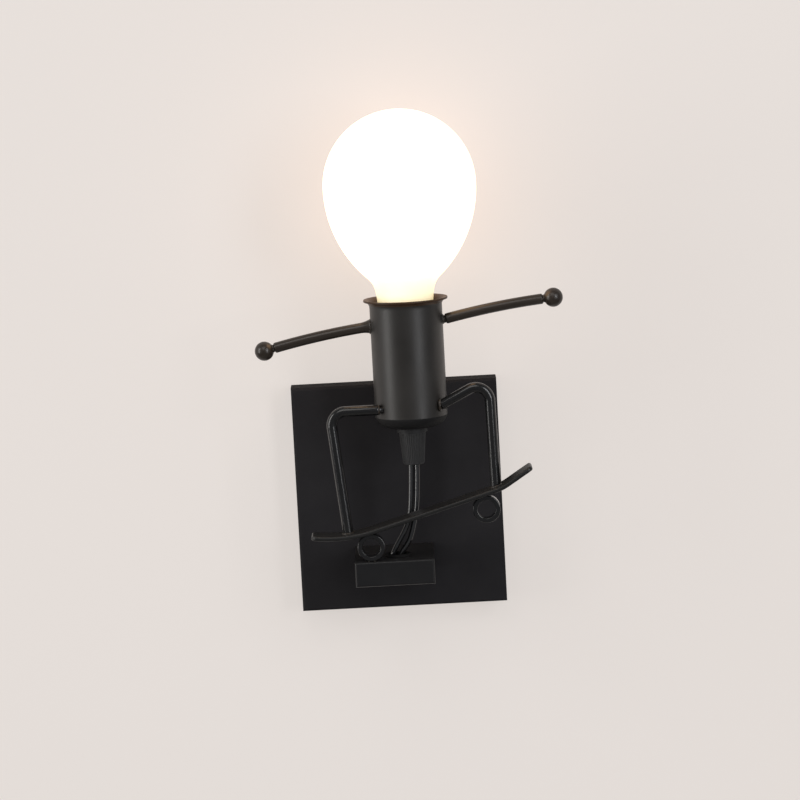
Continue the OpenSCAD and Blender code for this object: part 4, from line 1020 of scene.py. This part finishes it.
def globe_wall(inset):
    """Outline of the globe from its lower edge to its crown, taken in by the wall on the inside."""
    r, side_r, mid = 43.5, 71.2, 74.5
    edge_r, waist_r, neck_r = 15.0, 15.7, 16.4
    neck_h, join_h = 12.5, 22.5
    join = math.asin((mid - join_h) / side_r)
    join_r = r - side_r * (1 - math.cos(join))
    outline = [(edge_r - inset, 0.0), (waist_r - inset, neck_h / 2), (neck_r - inset, neck_h)]
    rise, slope_low, slope_high = join_h - neck_h, 0.11, math.tan(join)
    for k in range(1, 10):
        t = k / 10
        from_neck = (2 * t ** 3 - 3 * t ** 2 + 1) * neck_r + (t ** 3 - 2 * t ** 2 + t) * rise * slope_low
        to_join = (3 * t ** 2 - 2 * t ** 3) * join_r + (t ** 3 - t ** 2) * rise * slope_high
        outline.append((from_neck + to_join - inset, neck_h + rise * t))
    for k in range(41):
        a = join * (1 - k / 40)
        outline.append((r - side_r + (side_r - inset) * math.cos(a), mid - (side_r - inset) * math.sin(a)))
    for k in range(1, 32):
        a = math.pi / 2 * k / 32
        outline.append(((r - inset) * math.cos(a), mid + (r - inset) * math.sin(a)))
    return outline + [(0.0, mid + r - inset)]


glass = 1.2
globe = turned(globe_wall(0.0) + globe_wall(glass)[::-1], 128)
globe_place = Matrix.Translation((cup_x / 1000, cup_y / 1000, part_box("bulb_globe")[0].z))
globe_piece = piece_from("bulb_globe_blown", globe, globe_place, opal, 60.0)
stand_for(globe_piece, "bulb", "opal_glass", "bulb_globe")

nickel = new_finish("nickel_plate")
rub = surface_noise(nickel, 300.0, 4.0)
tint(nickel, rub, (0.52, 0.50, 0.46), (0.72, 0.70, 0.66))
polish(nickel, rub, 0.18, 0.34)
shader(nickel)["Metallic"].default_value = 1.0
bump(nickel, surface_noise(nickel, 2000.0, 2.0), 0.00002)
finish_nodes(nickel, "bulb_cap", "cap_contact")

black_glass = new_finish("fused_black_glass")
tint(black_glass, surface_noise(black_glass, 400.0), (0.006, 0.006, 0.007), (0.016, 0.014, 0.018))
shader(black_glass)["Roughness"].default_value = 0.12
finish_nodes(black_glass, "cap_insulator")
finish_nodes(nylon, "driver_housing")

lacquered_board = new_finish("green_lacquered_board")
weave = surface_noise(lacquered_board, 700.0, 3.0)
tint(lacquered_board, weave, (0.018, 0.14, 0.055), (0.035, 0.21, 0.09))
polish(lacquered_board, weave, 0.28, 0.42)
bump(lacquered_board, weave, 0.00002)
finish_nodes(lacquered_board, "driver_board")

white_plate = new_finish("white_lacquered_aluminium")
speckle = surface_noise(white_plate, 800.0, 3.0)
tint(white_plate, speckle, (0.74, 0.74, 0.74), (0.83, 0.83, 0.82))
polish(white_plate, speckle, 0.35, 0.5)
finish_nodes(white_plate, "led_plate")

phosphor = new_finish("yellow_phosphor")
tint(phosphor, surface_noise(phosphor, 1500.0), (0.78, 0.55, 0.10), (0.90, 0.70, 0.20))
shader(phosphor)["Roughness"].default_value = 0.45
shader(phosphor)["Emission Color"].default_value = (1.0, 0.8, 0.4, 1.0)
shader(phosphor)["Emission Strength"].default_value = 0.6
finish_nodes(phosphor, "led_chips")
